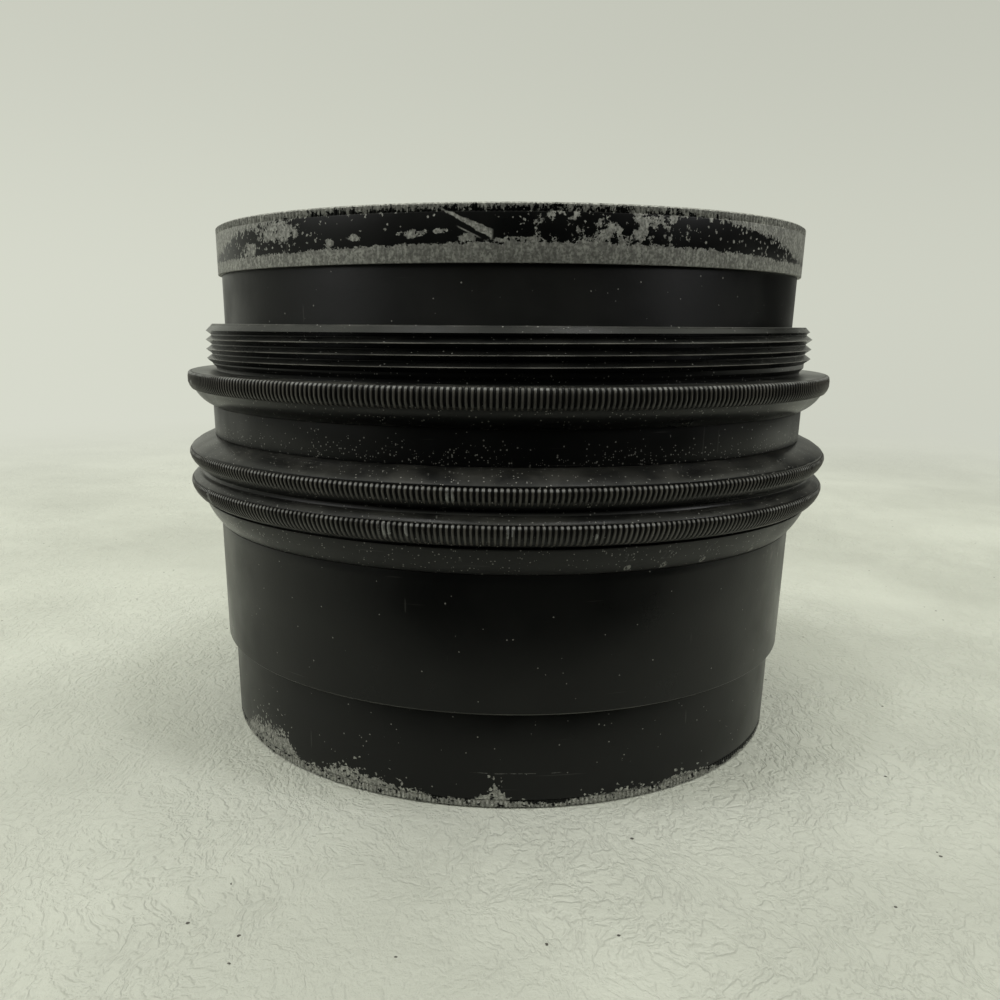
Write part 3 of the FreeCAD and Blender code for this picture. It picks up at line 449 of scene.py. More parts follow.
# The front cell has worn spots only at its foot, in a few stretches on the side that shows.
def make_worn_front():
    material, tree, shader, place = start_material("worn_front_enamel")
    height, bearing = round_place(tree, place)
    border = height_curve(tree, bearing, [
        (-180, 1.6), (-150, 3.0), (-120, 0.5), (-90, 2.2), (-66, 0.7), (-58, 4.6), (-47, 5.6), (-42, 2.2),
        (-36, 1.7), (-32, 3.9), (-25, 3.3), (-21, 2.4), (-15, 2.4), (-13, 0.8), (-12, 1.6), (-7, 1.2),
        (-4.5, 2.5), (-2.8, 4.6), (0, 1.4), (8, 0.8), (12, 1.3), (20, 2.1), (26, 1.4), (33, 2.6), (38, 1.8),
        (44, 0.6), (60, 0.8), (100, 2.4), (140, 0.8), (180, 1.6)])
    uneven = calc(tree, "MULTIPLY_ADD", noise(tree, place, 650.0, 5.0, 0.7), 2.0, -1.1)
    share = calc(tree, "DIVIDE", calc(tree, "ADD", height, uneven), border)
    gaps = ramp(tree, noise(tree, place, 1300.0, 3.0), 0.36, 0.5, 0.45, 1.0)
    chance = calc(tree, "MULTIPLY", ramp(tree, share, 0.6, 1.15, 0.97, 0.0), gaps)
    stray = ramp(tree, calc(tree, "DIVIDE", height, border), 1.0, 2.0, 0.05, 0.0)
    line_height = calc(tree, "MULTIPLY_ADD", noise(tree, place, 200.0, 2.0), 0.5, height)
    hairline = calc(tree, "MULTIPLY", band(tree, line_height, 6.05, 6.13, 0.05),
                    band(tree, bearing, -5.5, 8.0, 2.0))
    broken = calc(tree, "MULTIPLY", hairline,
                  ramp(tree, noise(tree, place, 900.0, 2.0), 0.45, 0.55, 0.0, 0.4))
    worn = highest_of(tree, [flakes(tree, place, calc(tree, "MAXIMUM", chance, stray), 2700.0), broken])
    finish_worn(tree, shader, place, worn, enamel_colour(tree, place), FRONT_BORE)
    return material


worn_rear_enamel = make_worn_rear()
worn_front_enamel = make_worn_front()
print("made", worn_rear_enamel.name, "and", worn_front_enamel.name)

# %% [markdown]
# Knurls look brown-grey with thin bright lines: each rib's crest is painted pale, partly rubbed wear and partly a
# painted highlight, and its groove is kept near-black.
# Every rib will carry a number called crest, 1 on top and 0 at the bottom. The material reads it.

# %% Knurled enamel, with painted highlights
RIB_CREST_WEAR_AND_SHEEN = (0.105, 0.098, 0.086, 1)
RIB_ROOT = (0.002, 0.002, 0.002, 1)
NICK_AND_GLINT = (0.24, 0.24, 0.235, 1)
KNURL_GLOSS = 0.35


def make_knurl(name, glint_corner_heights, nick_places):
    material, tree, shader, place = start_material(name)
    height, bearing = round_place(tree, place)
    crest = add(tree, "ShaderNodeAttribute", attribute_name="crest").outputs["Fac"]
    handled = noise(tree, place, 120.0, 4.0)
    # Painted highlight along each crest, partly rubbed wear: pale where crest is near 1.
    rubbed = calc(tree, "MULTIPLY", ramp(tree, crest, 0.72, 1.0), ramp(tree, handled, 0.25, 0.7, 0.35, 1.0))
    ribs = blend_colours(tree, rubbed, RIB_ROOT, RIB_CREST_WEAR_AND_SHEEN)
    # Painted glint: a pale stroke on the crests along each upper corner, standing in for the light it catches.
    corners = highest_of(tree, [band(tree, height, corner - 0.16, corner + 0.14, 0.06)
                                for corner in glint_corner_heights])
    painted_corner_glint = calc(tree, "MULTIPLY", calc(tree, "MULTIPLY", corners, ramp(tree, crest, 0.5, 0.9)),
                  ramp(tree, noise(tree, place, 260.0, 3.0), 0.35, 0.6, 0.15, 0.9))
    ribs = blend_colours(tree, painted_corner_glint, ribs, NICK_AND_GLINT)
    crumbled = calc(tree, "MULTIPLY_ADD", noise(tree, place, 1400.0, 5.0, 0.7), 2.0, -0.8)
    nicks = highest_of(tree, [rubbed_place(tree, bearing, height, crumbled, *spot) for spot in nick_places])
    struck = calc(tree, "MULTIPLY", nicks, ramp(tree, crest, 0.3, 0.8))
    tree.links.new(blend_colours(tree, struck, ribs, NICK_AND_GLINT), shader.inputs["Base Color"])
    tree.links.new(calc(tree, "MULTIPLY", struck, 0.5), shader.inputs["Metallic"])
    tree.links.new(ramp(tree, crest, 0.0, 1.0, 0.62, 0.34), shader.inputs["Roughness"])
    shader.inputs["Specular IOR Level"].default_value = KNURL_GLOSS
    return material


RING_NICKS = [((-9.4, 47.7), (0.8, 1.5)), ((-18.6, 42.8), (1.3, 1.3)), ((-15.5, 42.9), (0.5, 1.2)),
              ((-1.3, 43.2), (0.6, 1.3)), ((-58.0, 42.7), (1.0, 1.6)), ((10.5, 42.4), (0.4, 0.6))]
MOUNT_NICKS = [((-67.0, 60.0), (1.0, 0.5)), ((140.0, 59.5), (0.8, 1.0))]
ring_knurl_enamel_and_glints = make_knurl("ring_knurl_enamel_and_glints", [RING_FRONT + 7.45, RING_FRONT + 12.35], RING_NICKS)
mount_knurl_enamel_and_glints = make_knurl("mount_knurl_enamel_and_glints", [MOUNT_FRONT + 5.4], MOUNT_NICKS)
print("made", ring_knurl_enamel_and_glints.name, "and", mount_knurl_enamel_and_glints.name)

# %% [markdown]
# Inside, the metal is matt black, the leaves are blued spring steel, the screws are blackened, and the glass
# has a thin blue-violet coating. Glass is built from transparency and a sharp reflection, so that it stays
# clear in any direction without heavy refraction.

# %% Finishes for the inner pieces
MATT_BLACK_DEEP, MATT_BLACK_PALE = (0.010, 0.010, 0.011, 1), (0.026, 0.026, 0.027, 1)
BLUED_DEEP, BLUED_PALE = (0.035, 0.036, 0.040, 1), (0.075, 0.075, 0.080, 1)
BLACKENED, RUBBED_STEEL = (0.03, 0.03, 0.03, 1), (0.28, 0.28, 0.27, 1)
GLASS_BODY = (0.93, 0.95, 0.965, 1)
GLASS_COATING = (0.62, 0.60, 0.86, 1)
GLASS_IOR = 1.48


def make_matt_black():
    material, tree, shader, place = start_material("matt_black")
    turning = noise(tree, stretched(tree, place, 120.0, 120.0, 5200.0), 1.0, 3.0)
    shade = ramp(tree, turning, 0.3, 0.7)
    colour = blend_colours(tree, shade, MATT_BLACK_DEEP, MATT_BLACK_PALE)
    dusted = blend_colours(tree, dust_amount(tree, place, 0.0, 0.12), colour, DUST)
    tree.links.new(dusted, shader.inputs["Base Color"])
    tree.links.new(ramp(tree, turning, 0.2, 0.8, 0.5, 0.68), shader.inputs["Roughness"])
    return material


def make_blued_steel():
    material, tree, shader, place = start_material("blued_steel")
    shader.inputs["Metallic"].default_value = 1.0
    clouds = noise(tree, place, 90.0, 3.0)
    colour = blend_colours(tree, ramp(tree, clouds, 0.3, 0.7), BLUED_DEEP, BLUED_PALE)
    tree.links.new(colour, shader.inputs["Base Color"])
    brushed = noise(tree, stretched(tree, place, 2500.0, 160.0, 160.0), 1.0, 2.0)
    tree.links.new(ramp(tree, brushed, 0.2, 0.8, 0.3, 0.5), shader.inputs["Roughness"])
    return material


def make_screw_steel():
    material, tree, shader, place = start_material("screw_steel")
    shader.inputs["Metallic"].default_value = 1.0
    rubbed = ramp(tree, noise(tree, place, 900.0, 4.0), 0.42, 0.62)
    colour = blend_colours(tree, rubbed, BLACKENED, RUBBED_STEEL)
    tree.links.new(colour, shader.inputs["Base Color"])
    tree.links.new(ramp(tree, noise(tree, place, 1500.0, 2.0), 0.3, 0.7, 0.28, 0.5), shader.inputs["Roughness"])
    return material


def make_glass():
    material, tree, shader, place = start_material("coated_glass")
    smears = ramp(tree, noise(tree, place, 60.0, 4.0), 0.45, 0.8, 0.0, 0.05)
    see_through = add(tree, "ShaderNodeBsdfTransparent", {"Color": GLASS_BODY})
    shine = add(tree, "ShaderNodeBsdfGlossy", {"Color": GLASS_COATING, "Roughness": 0.03})
    edge_on = add(tree, "ShaderNodeFresnel", {"IOR": GLASS_IOR})
    share = calc(tree, "ADD", edge_on.outputs[0], smears)
    mixed = add(tree, "ShaderNodeMixShader", {0: share, 1: see_through.outputs[0], 2: shine.outputs[0]})
    tree.links.new(mixed.outputs[0], tree.nodes["Material Output"].inputs["Surface"])
    tree.nodes.remove(shader)
    return material


matt_black = make_matt_black()
blued_steel = make_blued_steel()
screw_steel = make_screw_steel()
coated_glass = make_glass()
print("made", matt_black.name, blued_steel.name, screw_steel.name, coated_glass.name)

# %% [markdown]
# A lens barrel is lathe work, so the basic tool here is a lathe too. It takes an outline of (radius, height)
# corners, listed upwards on the outside and downwards on the inside, and carries it round the optical axis.
# Real edges are never perfectly sharp, and the thin bright lines in the photo are light on their small
# rounding. So each corner is eased by a tenth of a millimetre before the outline is turned.

# %% Lathe
SHARP_ANGLE = math.radians(38)
LEAST_TURN = math.radians(20)
SEGMENTS = 320


def ease(outline, size):
    eased = []
    count = len(outline)
    for place, corner in enumerate(outline):
        here = Vector(corner)
        before = Vector(outline[place - 1])
        after = Vector(outline[(place + 1) % count])
        to_before = before - here
        to_after = after - here
        turn_angle = math.pi - to_before.angle(to_after, math.pi)
        reach = min(size, to_before.length * 0.4, to_after.length * 0.4)
        if turn_angle < LEAST_TURN or here.x < 1e-6:
            eased.append(tuple(here))
            continue
        first = here + to_before.normalized() * reach
        last = here + to_after.normalized() * reach
        middle = first * 0.25 + here * 0.5 + last * 0.25
        eased.extend([tuple(first), tuple(middle), tuple(last)])
    return eased


def arc(start, end, radius, side, steps):
    first, last = Vector(start), Vector(end)
    way = last - first
    reach = math.sqrt(max(radius ** 2 - (way.length / 2) ** 2, 0.0))
    centre = (first + last) / 2 + Vector((-way.y, way.x)).normalized() * reach * side
    angle_one = math.atan2(first.y - centre.y, first.x - centre.x)
    angle_two = math.atan2(last.y - centre.y, last.x - centre.x)
    change = (angle_two - angle_one + math.pi) % (2 * math.pi) - math.pi
    angles = [angle_one + change * step / steps for step in range(steps + 1)]
    return [(centre.x + radius * math.cos(a), centre.y + radius * math.sin(a)) for a in angles]


def mesh_from(name, corners, faces):
    mesh = bpy.data.meshes.new(name)
    mesh.from_pydata(corners, [], faces)
    mesh.polygons.foreach_set("use_smooth", [True] * len(mesh.polygons))
    mesh.set_sharp_from_angle(angle=SHARP_ANGLE)
    mesh.update()
    return mesh


def place_piece(name, mesh, material):
    piece = bpy.data.objects.new(name, mesh)
    bpy.context.scene.collection.objects.link(piece)
    mesh.materials.clear()
    mesh.materials.append(material)
    return piece


def lathe_mesh(name, outline, start=0.0, sweep=2 * math.pi, segments=SEGMENTS):
    whole = sweep > 2 * math.pi - 1e-6
    columns = segments if whole else segments + 1
    rows = len(outline)
    corners = []
    index = {}
    for column in range(columns):
        angle = start + sweep * column / segments
        for row, (radius, height) in enumerate(outline):
            if radius < 1e-6 and column:
                index[column, row] = index[0, row]
                continue
            index[column, row] = len(corners)
            corners.append((radius * math.cos(angle) * MM, radius * math.sin(angle) * MM, height * MM))
    faces = []
    for column in range(segments):
        following = (column + 1) % columns
        for row in range(rows):
            above = (row + 1) % rows
            face = [index[column, row], index[following, row], index[following, above], index[column, above]]
            face = list(dict.fromkeys(face))
            if len(face) > 2:
                faces.append(face)
    if not whole:
        faces.append([index[0, row] for row in range(rows)])
        faces.append([index[segments, row] for row in reversed(range(rows))])
    return mesh_from(name, corners, faces)


def turn(name, outline, material, easing=0.1):
    mesh = lathe_mesh(name, ease(outline, easing) if easing else outline)
    print(f"{name}: {len(mesh.polygons)} faces")
    return place_piece(name, mesh, material)


# %% [markdown]
# A few cuts break the turned shells: the slot for the iris screw, the hole for the screw itself, and that of
# the grub screw at the back. The Boolean modifier makes them, and its result is kept as a plain mesh. Its
# sharp edges are marked afresh, or the smooth wall would shade dark round each hole.

# %% Cutting


def cut_from(piece, cutter_mesh):
    cutter = bpy.data.objects.new("cutter", cutter_mesh)
    bpy.context.scene.collection.objects.link(cutter)
    modifier = piece.modifiers.new("cut", "BOOLEAN")
    modifier.object = cutter
    modifier.operation = "DIFFERENCE"
    modifier.solver = "EXACT"
    bpy.context.view_layer.update()
    before = len(piece.data.polygons)
    evaluated = piece.evaluated_get(bpy.context.evaluated_depsgraph_get())
    mesh = bpy.data.meshes.new_from_object(evaluated)
    mesh.set_sharp_from_angle(angle=SHARP_ANGLE)
    piece.modifiers.clear()
    piece.data = mesh
    bpy.data.objects.remove(cutter)
    print(f"cut {piece.name}: {before} faces before, {len(mesh.polygons)} after")


def back_drill(radius, height, start, end, sides=32):
    rings = []
    for y in (start, end):
        for side in range(sides):
            angle = 2 * math.pi * side / sides
            rings.append((radius * math.cos(angle) * MM, y * MM, (height + radius * math.sin(angle)) * MM))
    faces = [[side, sides + side, sides + (side + 1) % sides, (side + 1) % sides] for side in range(sides)]
    faces.append(list(range(sides)))
    faces.append([2 * sides - 1 - side for side in range(sides)])
    return mesh_from("drill", rings, faces)


# %% [markdown]
# The front cell is the small cylinder that the lens stands on. Its foot has a very fine serration for the
# fingers. The body is turned a little smaller there, and the serration is a separate ring of ribs, added
# further down.

# %% Front cell
FRONT_RADIUS = radius_of("front_cell")
FRONT_BORE_DEPTH = 5.5
RIB_HEIGHT = 1.15
RIB_SINK = 0.28
GLASS_GAP = 0.05
front_glass_low, front_glass_high = height_of("front_element")
front_ring_low, front_ring_high = height_of("front_retaining_ring")
FRONT_GLASS_RADIUS = radius_of("front_element")
FRONT_RING_RADIUS = radius_of("front_retaining_ring") + SLIDE_GAP
CLEAR_FRONT = 40.5
SPIGOT_RADIUS = 46.0


def turned_grooves(radius, low, high, pitch, depth):
    count = int((high - low) / pitch)
    corners = []
    for groove in range(count):
        top = high - groove * pitch
        corners.extend([(radius, top), (radius + depth, top - pitch / 2)])
    return corners


front_outline = [
    (FRONT_BORE, FRONT_RIM),
    (FRONT_RADIUS - 0.6, FRONT_RIM),
    (FRONT_RADIUS - RIB_SINK, FRONT_RIM + 0.25),
    (FRONT_RADIUS - RIB_SINK, FRONT_RIM + 0.2 + RIB_HEIGHT),
    (FRONT_RADIUS, FRONT_RIM + 0.4 + RIB_HEIGHT),
    (FRONT_RADIUS, BARREL_FRONT),
    (SPIGOT_RADIUS, BARREL_FRONT),
    (SPIGOT_RADIUS, SPIGOT_END),
    (CLEAR_FRONT, SPIGOT_END),
    (CLEAR_FRONT, front_glass_high),
    (FRONT_GLASS_RADIUS + GLASS_GAP, front_glass_high),
    (FRONT_GLASS_RADIUS + GLASS_GAP, front_ring_high + 0.15),
    (FRONT_RING_RADIUS, front_ring_high + 0.15),
    (FRONT_RING_RADIUS, front_ring_low - 0.3),
] + turned_grooves(FRONT_RING_RADIUS, FRONT_BORE_DEPTH + 0.5, front_ring_low - 0.5, pitch=0.75, depth=0.4) + [
    (FRONT_RING_RADIUS, FRONT_BORE_DEPTH),
    (FRONT_BORE, FRONT_BORE_DEPTH),
]
front_cell = turn("front_cell_shell", front_outline, worn_front_enamel)
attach(front_cell, "lens_barrel")
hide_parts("front_cell")

# %% [markdown]
# The front barrel is the plain large cylinder. Nothing hides a fault here, so its two edges are eased by given
# amounts and the enamel does the rest. Behind it, out of the camera's sight, a grub screw locks it.

# %% Front barrel
BARREL_WEB = 44.0
grub_low, grub_high = height_of("front_barrel_grub_screw")
grub_radius = (grub_high - grub_low) / 2
barrel_outline = [
    (SPIGOT_RADIUS + SLIDE_GAP, BARREL_FRONT),
    (BARREL_RADIUS - 0.25, BARREL_FRONT),
    (BARREL_RADIUS, BARREL_FRONT + 0.25),
    (BARREL_RADIUS, grub_low - 1.0),
    (BARREL_RADIUS, grub_high + 1.0),
    (BARREL_RADIUS, BARREL_REAR),
    (TUBE_RADIUS + SLIDE_GAP, BARREL_REAR),
    (TUBE_RADIUS + SLIDE_GAP, TUBE_FRONT),
    (BARREL_WEB, TUBE_FRONT),
    (BARREL_WEB, SPIGOT_END + END_GAP),
    (SPIGOT_RADIUS + SLIDE_GAP, SPIGOT_END + END_GAP),
]
front_barrel = turn("front_barrel_shell", barrel_outline, barrel_enamel, 0.08)
cut_from(front_barrel, back_drill(grub_radius + SLIDE_GAP, (grub_low + grub_high) / 2, TUBE_RADIUS - 0.5,
                                  BARREL_RADIUS + 1))
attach(front_barrel, "lens_barrel")
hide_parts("front_barrel")

# %% [markdown]
# The main barrel is one tube. Two stretches of it show: the plain sleeve between the iris ring and the
# mounting ring, and the neck under the rear rim. The slot for the iris screw runs as far as the iris ring
# turns, so its length comes from the joint in the record.

# %% Main barrel
ring_joint = next(joint for joint in frame["joints"] if joint["name"] == "iris_ring_turn")
turn_low, turn_high = ring_joint["range_deg"]
screw_low, screw_high = height_of("iris_drive_screw")
screw_level = (screw_low + screw_high) / 2
SHANK_RADIUS = 0.9
HEAD_RADIUS = (screw_high - screw_low) / 2
WEB_RADIUS = 30.0
WEB_THICKNESS = 1.7
DRIVE_END_GAP = 0.1
SLOT_GAP = 0.12
RIM_STEP = 0.6
REAR_BORE_WALL = 3.7
web_front = height_of("iris_drive_ring")[1] + DRIVE_END_GAP
web_rear = web_front + WEB_THICKNESS
REAR_BORE = radius_of("rear_cell") - RIM_STEP - REAR_BORE_WALL
tube_outline = [
    (TUBE_BORE, TUBE_FRONT),
    (TUBE_RADIUS, TUBE_FRONT),
    (TUBE_RADIUS, RING_REAR + END_GAP),
    (SLEEVE_RADIUS, RING_REAR + END_GAP),
    (SLEEVE_RADIUS, MOUNT_FRONT),
    (TUBE_RADIUS, MOUNT_FRONT),
    (TUBE_RADIUS, TUBE_REAR),
    (REAR_BORE, TUBE_REAR),
    (REAR_BORE, web_rear),
    (WEB_RADIUS, web_rear),
    (WEB_RADIUS, web_front),
    (TUBE_BORE, web_front),
]
main_barrel = turn("main_barrel_tube", tube_outline, sleeve_enamel, 0.08)
slot_half = SHANK_RADIUS + SLOT_GAP
slot_end = math.asin(slot_half / TUBE_BORE)
slot_start = math.pi / 2 + math.radians(turn_low) - slot_end
slot_sweep = math.radians(turn_high - turn_low) + 2 * slot_end
slot_outline = [
    (TUBE_BORE - 0.5, screw_level - slot_half),
    (TUBE_RADIUS + 0.5, screw_level - slot_half),
    (TUBE_RADIUS + 0.5, screw_level + slot_half),
    (TUBE_BORE - 0.5, screw_level + slot_half),
]
cut_from(main_barrel, lathe_mesh("slot", slot_outline, slot_start, slot_sweep, 64))
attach(main_barrel, "lens_barrel")
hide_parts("main_barrel")

# %% [markdown]
# The iris ring is the piece that the fingers turn. From the table upwards it has a hollow flare that carries
# the scale, a thin dark groove, a knurled bead, a valley and a second knurled bead. The tops of both beads
# are plain slopes, where dust collects. The knurls come later as rings of ribs on this core.

# %% Iris ring
RING_BORE = TUBE_RADIUS + SLIDE_GAP
BAND_TOP = RING_FRONT + 4.15
BAND_RADIUS = 53.7
BAND_CURVE = 11.0
HEAD_FLOOR = 52.4
BEAD_RADIUS = radius_of("iris_ring")
FRONT_BEAD = RING_FRONT + 6.7
REAR_BEAD = RING_FRONT + 11.6
flare = arc((BARREL_RADIUS, RING_FRONT), (BAND_RADIUS, BAND_TOP), BAND_CURVE, 1, 12)
ring_outline = [(RING_BORE, RING_FRONT)] + flare + [
    (BAND_RADIUS - 0.6, BAND_TOP + 0.02),
    (BAND_RADIUS - 0.6, BAND_TOP + 0.4),
    (54.0, BAND_TOP + 0.42),
    (54.7, FRONT_BEAD - 1.4),
    (55.2, FRONT_BEAD - 0.6),
    (55.3, FRONT_BEAD + 0.3),
    (55.2, FRONT_BEAD + 0.95),
    (55.45, FRONT_BEAD + 1.05),
    (55.3, FRONT_BEAD + 1.25),
    (54.5, FRONT_BEAD + 1.85),
    (53.9, FRONT_BEAD + 2.0),
    (53.7, screw_level),
    (54.0, REAR_BEAD - 2.1),
    (54.6, REAR_BEAD - 1.75),
    (55.2, REAR_BEAD - 0.9),
    (55.3, REAR_BEAD),
    (55.2, REAR_BEAD + 0.9),
    (55.4, REAR_BEAD + 0.98),
    (55.35, REAR_BEAD + 1.3),
    (54.3, REAR_BEAD + 2.05),
    (52.8, REAR_BEAD + 2.75),
    (SLEEVE_RADIUS + 0.05, RING_REAR),
    (RING_BORE, RING_REAR),
]
iris_ring = turn("iris_ring_body", ring_outline, dusty_enamel, 0.08)
cut_from(iris_ring, back_drill(SHANK_RADIUS + SLIDE_GAP, screw_level, TUBE_RADIUS - 0.5, BEAD_RADIUS + 1))
cut_from(iris_ring, back_drill(HEAD_RADIUS + SLIDE_GAP, screw_level, HEAD_FLOOR, BEAD_RADIUS + 1))
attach(iris_ring, "iris_control")
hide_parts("iris_ring")

# %% [markdown]
# The mounting ring has a hollow flare below, a knurled edge, and a flat shoulder that the camera's flange
# comes to rest on. A narrow relief lets a nut run right down to the shoulder. Above it stands the core that
# the thread is wound on.

# %% Mounting ring
SHOULDER = MOUNT_FRONT + 5.6
THREAD_RADIUS = 52.0
THREAD_DEPTH = 0.92
THREAD_PITCH = 1.5
THREAD_CHAMFER = 1.2
RELIEF_DEPTH = 1.5
RELIEF_REAR = SHOULDER + 0.5
CORE_RADIUS = THREAD_RADIUS - THREAD_DEPTH
mount_outline = [
    (RING_BORE, MOUNT_FRONT),
    (SLEEVE_RADIUS, MOUNT_FRONT),
] + arc((SLEEVE_RADIUS + 0.1, MOUNT_FRONT + 0.1), (54.3, MOUNT_FRONT + 2.65), 5.5, 1, 8) + [
    (54.75, MOUNT_FRONT + 3.05),
    (54.85, MOUNT_FRONT + 4.2),
    (54.7, SHOULDER - 0.15),
    (54.55, SHOULDER),
    (THREAD_RADIUS - RELIEF_DEPTH, SHOULDER),
    (THREAD_RADIUS - RELIEF_DEPTH, RELIEF_REAR),
    (CORE_RADIUS, RELIEF_REAR + RELIEF_DEPTH - THREAD_DEPTH),
    (CORE_RADIUS, THREAD_REAR - THREAD_CHAMFER + THREAD_DEPTH),
    (THREAD_RADIUS - THREAD_CHAMFER, THREAD_REAR),
    (RING_BORE, THREAD_REAR),
]
mount_ring = turn("mount_ring_body", mount_outline, dusty_enamel, 0.06)
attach(mount_ring, "lens_barrel")
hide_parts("mount_ring")

# %% [markdown]
# The rear cell closes the lens at the top. Its rim is the most worn piece of all, with a fine serration along
# its upper edge. Inside, the recess narrows in a grooved cone towards the glass, which keeps stray light down.

# %% Rear cell
REAR_RADIUS = radius_of("rear_cell")
RIM_DEPTH = 6.0
CONE_RADIUS = 42.5
CONE_HEIGHT = 4.7
REAR_RING_BORE = radius_of("rear_retaining_ring") + SLIDE_GAP
PAIR_RADIUS = radius_of("rear_pair_rear_element")
CLEAR_REAR = 35.5
pair_low = height_of("rear_pair_front_element")[0]
pair_ring_low = height_of("rear_retaining_ring")[0]
cone_foot = REAR_RIM - RIM_DEPTH - CONE_HEIGHT
cone_steps = 6
cone = []
for step in range(cone_steps):
    share = 1 - step / cone_steps
    cone_radius = REAR_RING_BORE + (CONE_RADIUS - REAR_RING_BORE) * share
    cone_level = cone_foot + CONE_HEIGHT * share
    cone.extend([(cone_radius, cone_level), (cone_radius + 0.25, cone_level - 0.35)])
rear_outline = [
    (CLEAR_REAR, POCKET_FRONT),
    (REAR_BORE - SLIDE_GAP, POCKET_FRONT),
    (REAR_BORE - SLIDE_GAP, TUBE_REAR),
    (REAR_RADIUS, TUBE_REAR),
    (REAR_RADIUS, REAR_RIM - 1.15),
    (REAR_RADIUS - RIB_SINK, REAR_RIM - 1.05),
    (REAR_RADIUS - RIB_SINK, REAR_RIM - 0.2),
    (REAR_RADIUS - 0.5, REAR_RIM),
    (RIM_BORE, REAR_RIM),
    (RIM_BORE, REAR_RIM - RIM_DEPTH),
] + cone + [
    (REAR_RING_BORE, cone_foot),
    (REAR_RING_BORE, pair_ring_low - 0.15),
    (PAIR_RADIUS + GLASS_GAP, pair_ring_low - 0.15),
    (PAIR_RADIUS + GLASS_GAP, pair_low),
    (CLEAR_REAR, pair_low),
]
rear_cell = turn("rear_cell_shell", rear_outline, worn_rear_enamel, 0.1)
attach(rear_cell, "lens_barrel")
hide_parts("rear_cell")

# %% [markdown]
# Some 440 ribs stand round each knurled bead. That is work for Geometry Nodes: one rib is modelled, and the
# nodes set it at every step of the circle, weld neighbours together and give the ring its finish. The rib is
# a closed ring segment, so the welded whole has no open edges.

# %% Rib round tree
WELD_DISTANCE = 0.002


def start_tree(name, wanted):
    tree = bpy.data.node_groups.new(name, "GeometryNodeTree")
    tree.interface.new_socket("Geometry", in_out="OUTPUT", socket_type="NodeSocketGeometry")
    for label, kind in wanted:
        tree.interface.new_socket(label, in_out="INPUT", socket_type=kind)
    return tree, tree.nodes.new("NodeGroupInput").outputs, tree.nodes.new("NodeGroupOutput").inputs


def make_rib_tree():
    tree, given, result = start_tree("ribs_round_a_ring", [
        ("Rib", "NodeSocketObject"), ("Count", "NodeSocketInt"), ("Weld", "NodeSocketFloat"),
        ("Finish", "NodeSocketMaterial")])
    rib = add(tree, "GeometryNodeObjectInfo", {"Object": given["Rib"]})
    places = add(tree, "GeometryNodePoints", {"Count": given["Count"]})
    step = calc(tree, "DIVIDE", 2 * math.pi, given["Count"])
    angle = calc(tree, "MULTIPLY", add(tree, "GeometryNodeInputIndex").outputs[0], step)
    turned_by = add(tree, "ShaderNodeCombineXYZ", {"Z": angle})
    copies = add(tree, "GeometryNodeInstanceOnPoints", {
        "Points": places.outputs[0], "Instance": rib.outputs["Geometry"], "Rotation": turned_by.outputs[0]})
    real = add(tree, "GeometryNodeRealizeInstances", {"Geometry": copies.outputs[0]})
    welded = add(tree, "GeometryNodeMergeByDistance", {"Geometry": real.outputs[0], "Distance": given["Weld"]})
    finished = add(tree, "GeometryNodeSetMaterial", {
        "Geometry": welded.outputs[0], "Material": given["Finish"]})
    tree.links.new(finished.outputs[0], result["Geometry"])
    return tree


rib_tree = make_rib_tree()


def grow(name, tree, values):
    holder = bpy.data.objects.new(name + "_holder", bpy.data.meshes.new(name + "_holder"))
    bpy.context.scene.collection.objects.link(holder)
    modifier = holder.modifiers.new(name, "NODES")
    modifier.node_group = tree
    for item in tree.interface.items_tree:
        if item.in_out == "INPUT" and item.name in values:
            modifier[item.identifier] = values[item.name]
    bpy.context.view_layer.update()
    evaluated = holder.evaluated_get(bpy.context.evaluated_depsgraph_get())
    mesh = bpy.data.meshes.new_from_object(evaluated)
    bpy.data.objects.remove(holder)
    piece = bpy.data.objects.new(name, mesh)
    bpy.context.scene.collection.objects.link(piece)
    print(f"{name}: {len(mesh.polygons)} faces")
    return piece


# %% [markdown]
# One rib is a strip across the bead. Seen from above its top is rounded, with a narrow groove on each side.
# The groove runs out at both ends, as the knurling wheel leaves it. Each corner also stores its crest value.

# %% One rib
ACROSS = [(-0.5, 0.0), (-0.36, 0.25), (-0.24, 0.82), (0.0, 1.0), (0.24, 0.82), (0.36, 0.25), (0.5, 0.0)]


def make_rib(name, outline, depth, inner_radius, count):
    rows = outline + [(inner_radius, outline[-1][1], None), (inner_radius, outline[0][1], None)]
    step = 2 * math.pi / count
    corners = []
    crest = []
    for radius, height, cut in rows:
        for offset, lift in ACROSS:
            groove = 0.0 if cut is None else depth * cut * (1 - lift)
            angle = offset * step
            reach = (radius - groove) * MM
            corners.append((reach * math.cos(angle), reach * math.sin(angle), height * MM))
            crest.append(0.0 if cut is None else lift)
    wide = len(ACROSS)
    faces = []
    for row in range(len(rows)):
        above = (row + 1) % len(rows)
        for place in range(wide - 1):
            here, there = row * wide + place, above * wide + place
            faces.append([here, here + 1, there + 1, there])
    mesh = mesh_from(name, corners, faces)
    mesh.attributes.new("crest", "FLOAT", "POINT").data.foreach_set("value", crest)
    rib = bpy.data.objects.new(name, mesh)
    bpy.context.scene.collection.objects.link(rib)
    return rib


def knurl(name, outline, depth, inner_radius, count, body, material):
    rib = make_rib(name + "_rib", outline, depth, inner_radius, count)
    piece = grow(name, rib_tree, {"Rib": rib, "Count": count, "Weld": WELD_DISTANCE * MM,
                                 "Finish": material})
    bpy.data.objects.remove(rib)
    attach(piece, body)


# %% [markdown]
# The two beads of the iris ring have ribs 0.8 mm apart. Their outline is fullest a little above the middle, and
# ends in a hard upper corner, where the material paints a bright glint.

# %% Knurls of the iris ring
RIB_COUNT = 440
RIB_DEPTH = 0.42
KNURL_ROOT = 53.6
FRONT_BEAD_FOOT = 1.95
REAR_BEAD_FOOT = 1.75


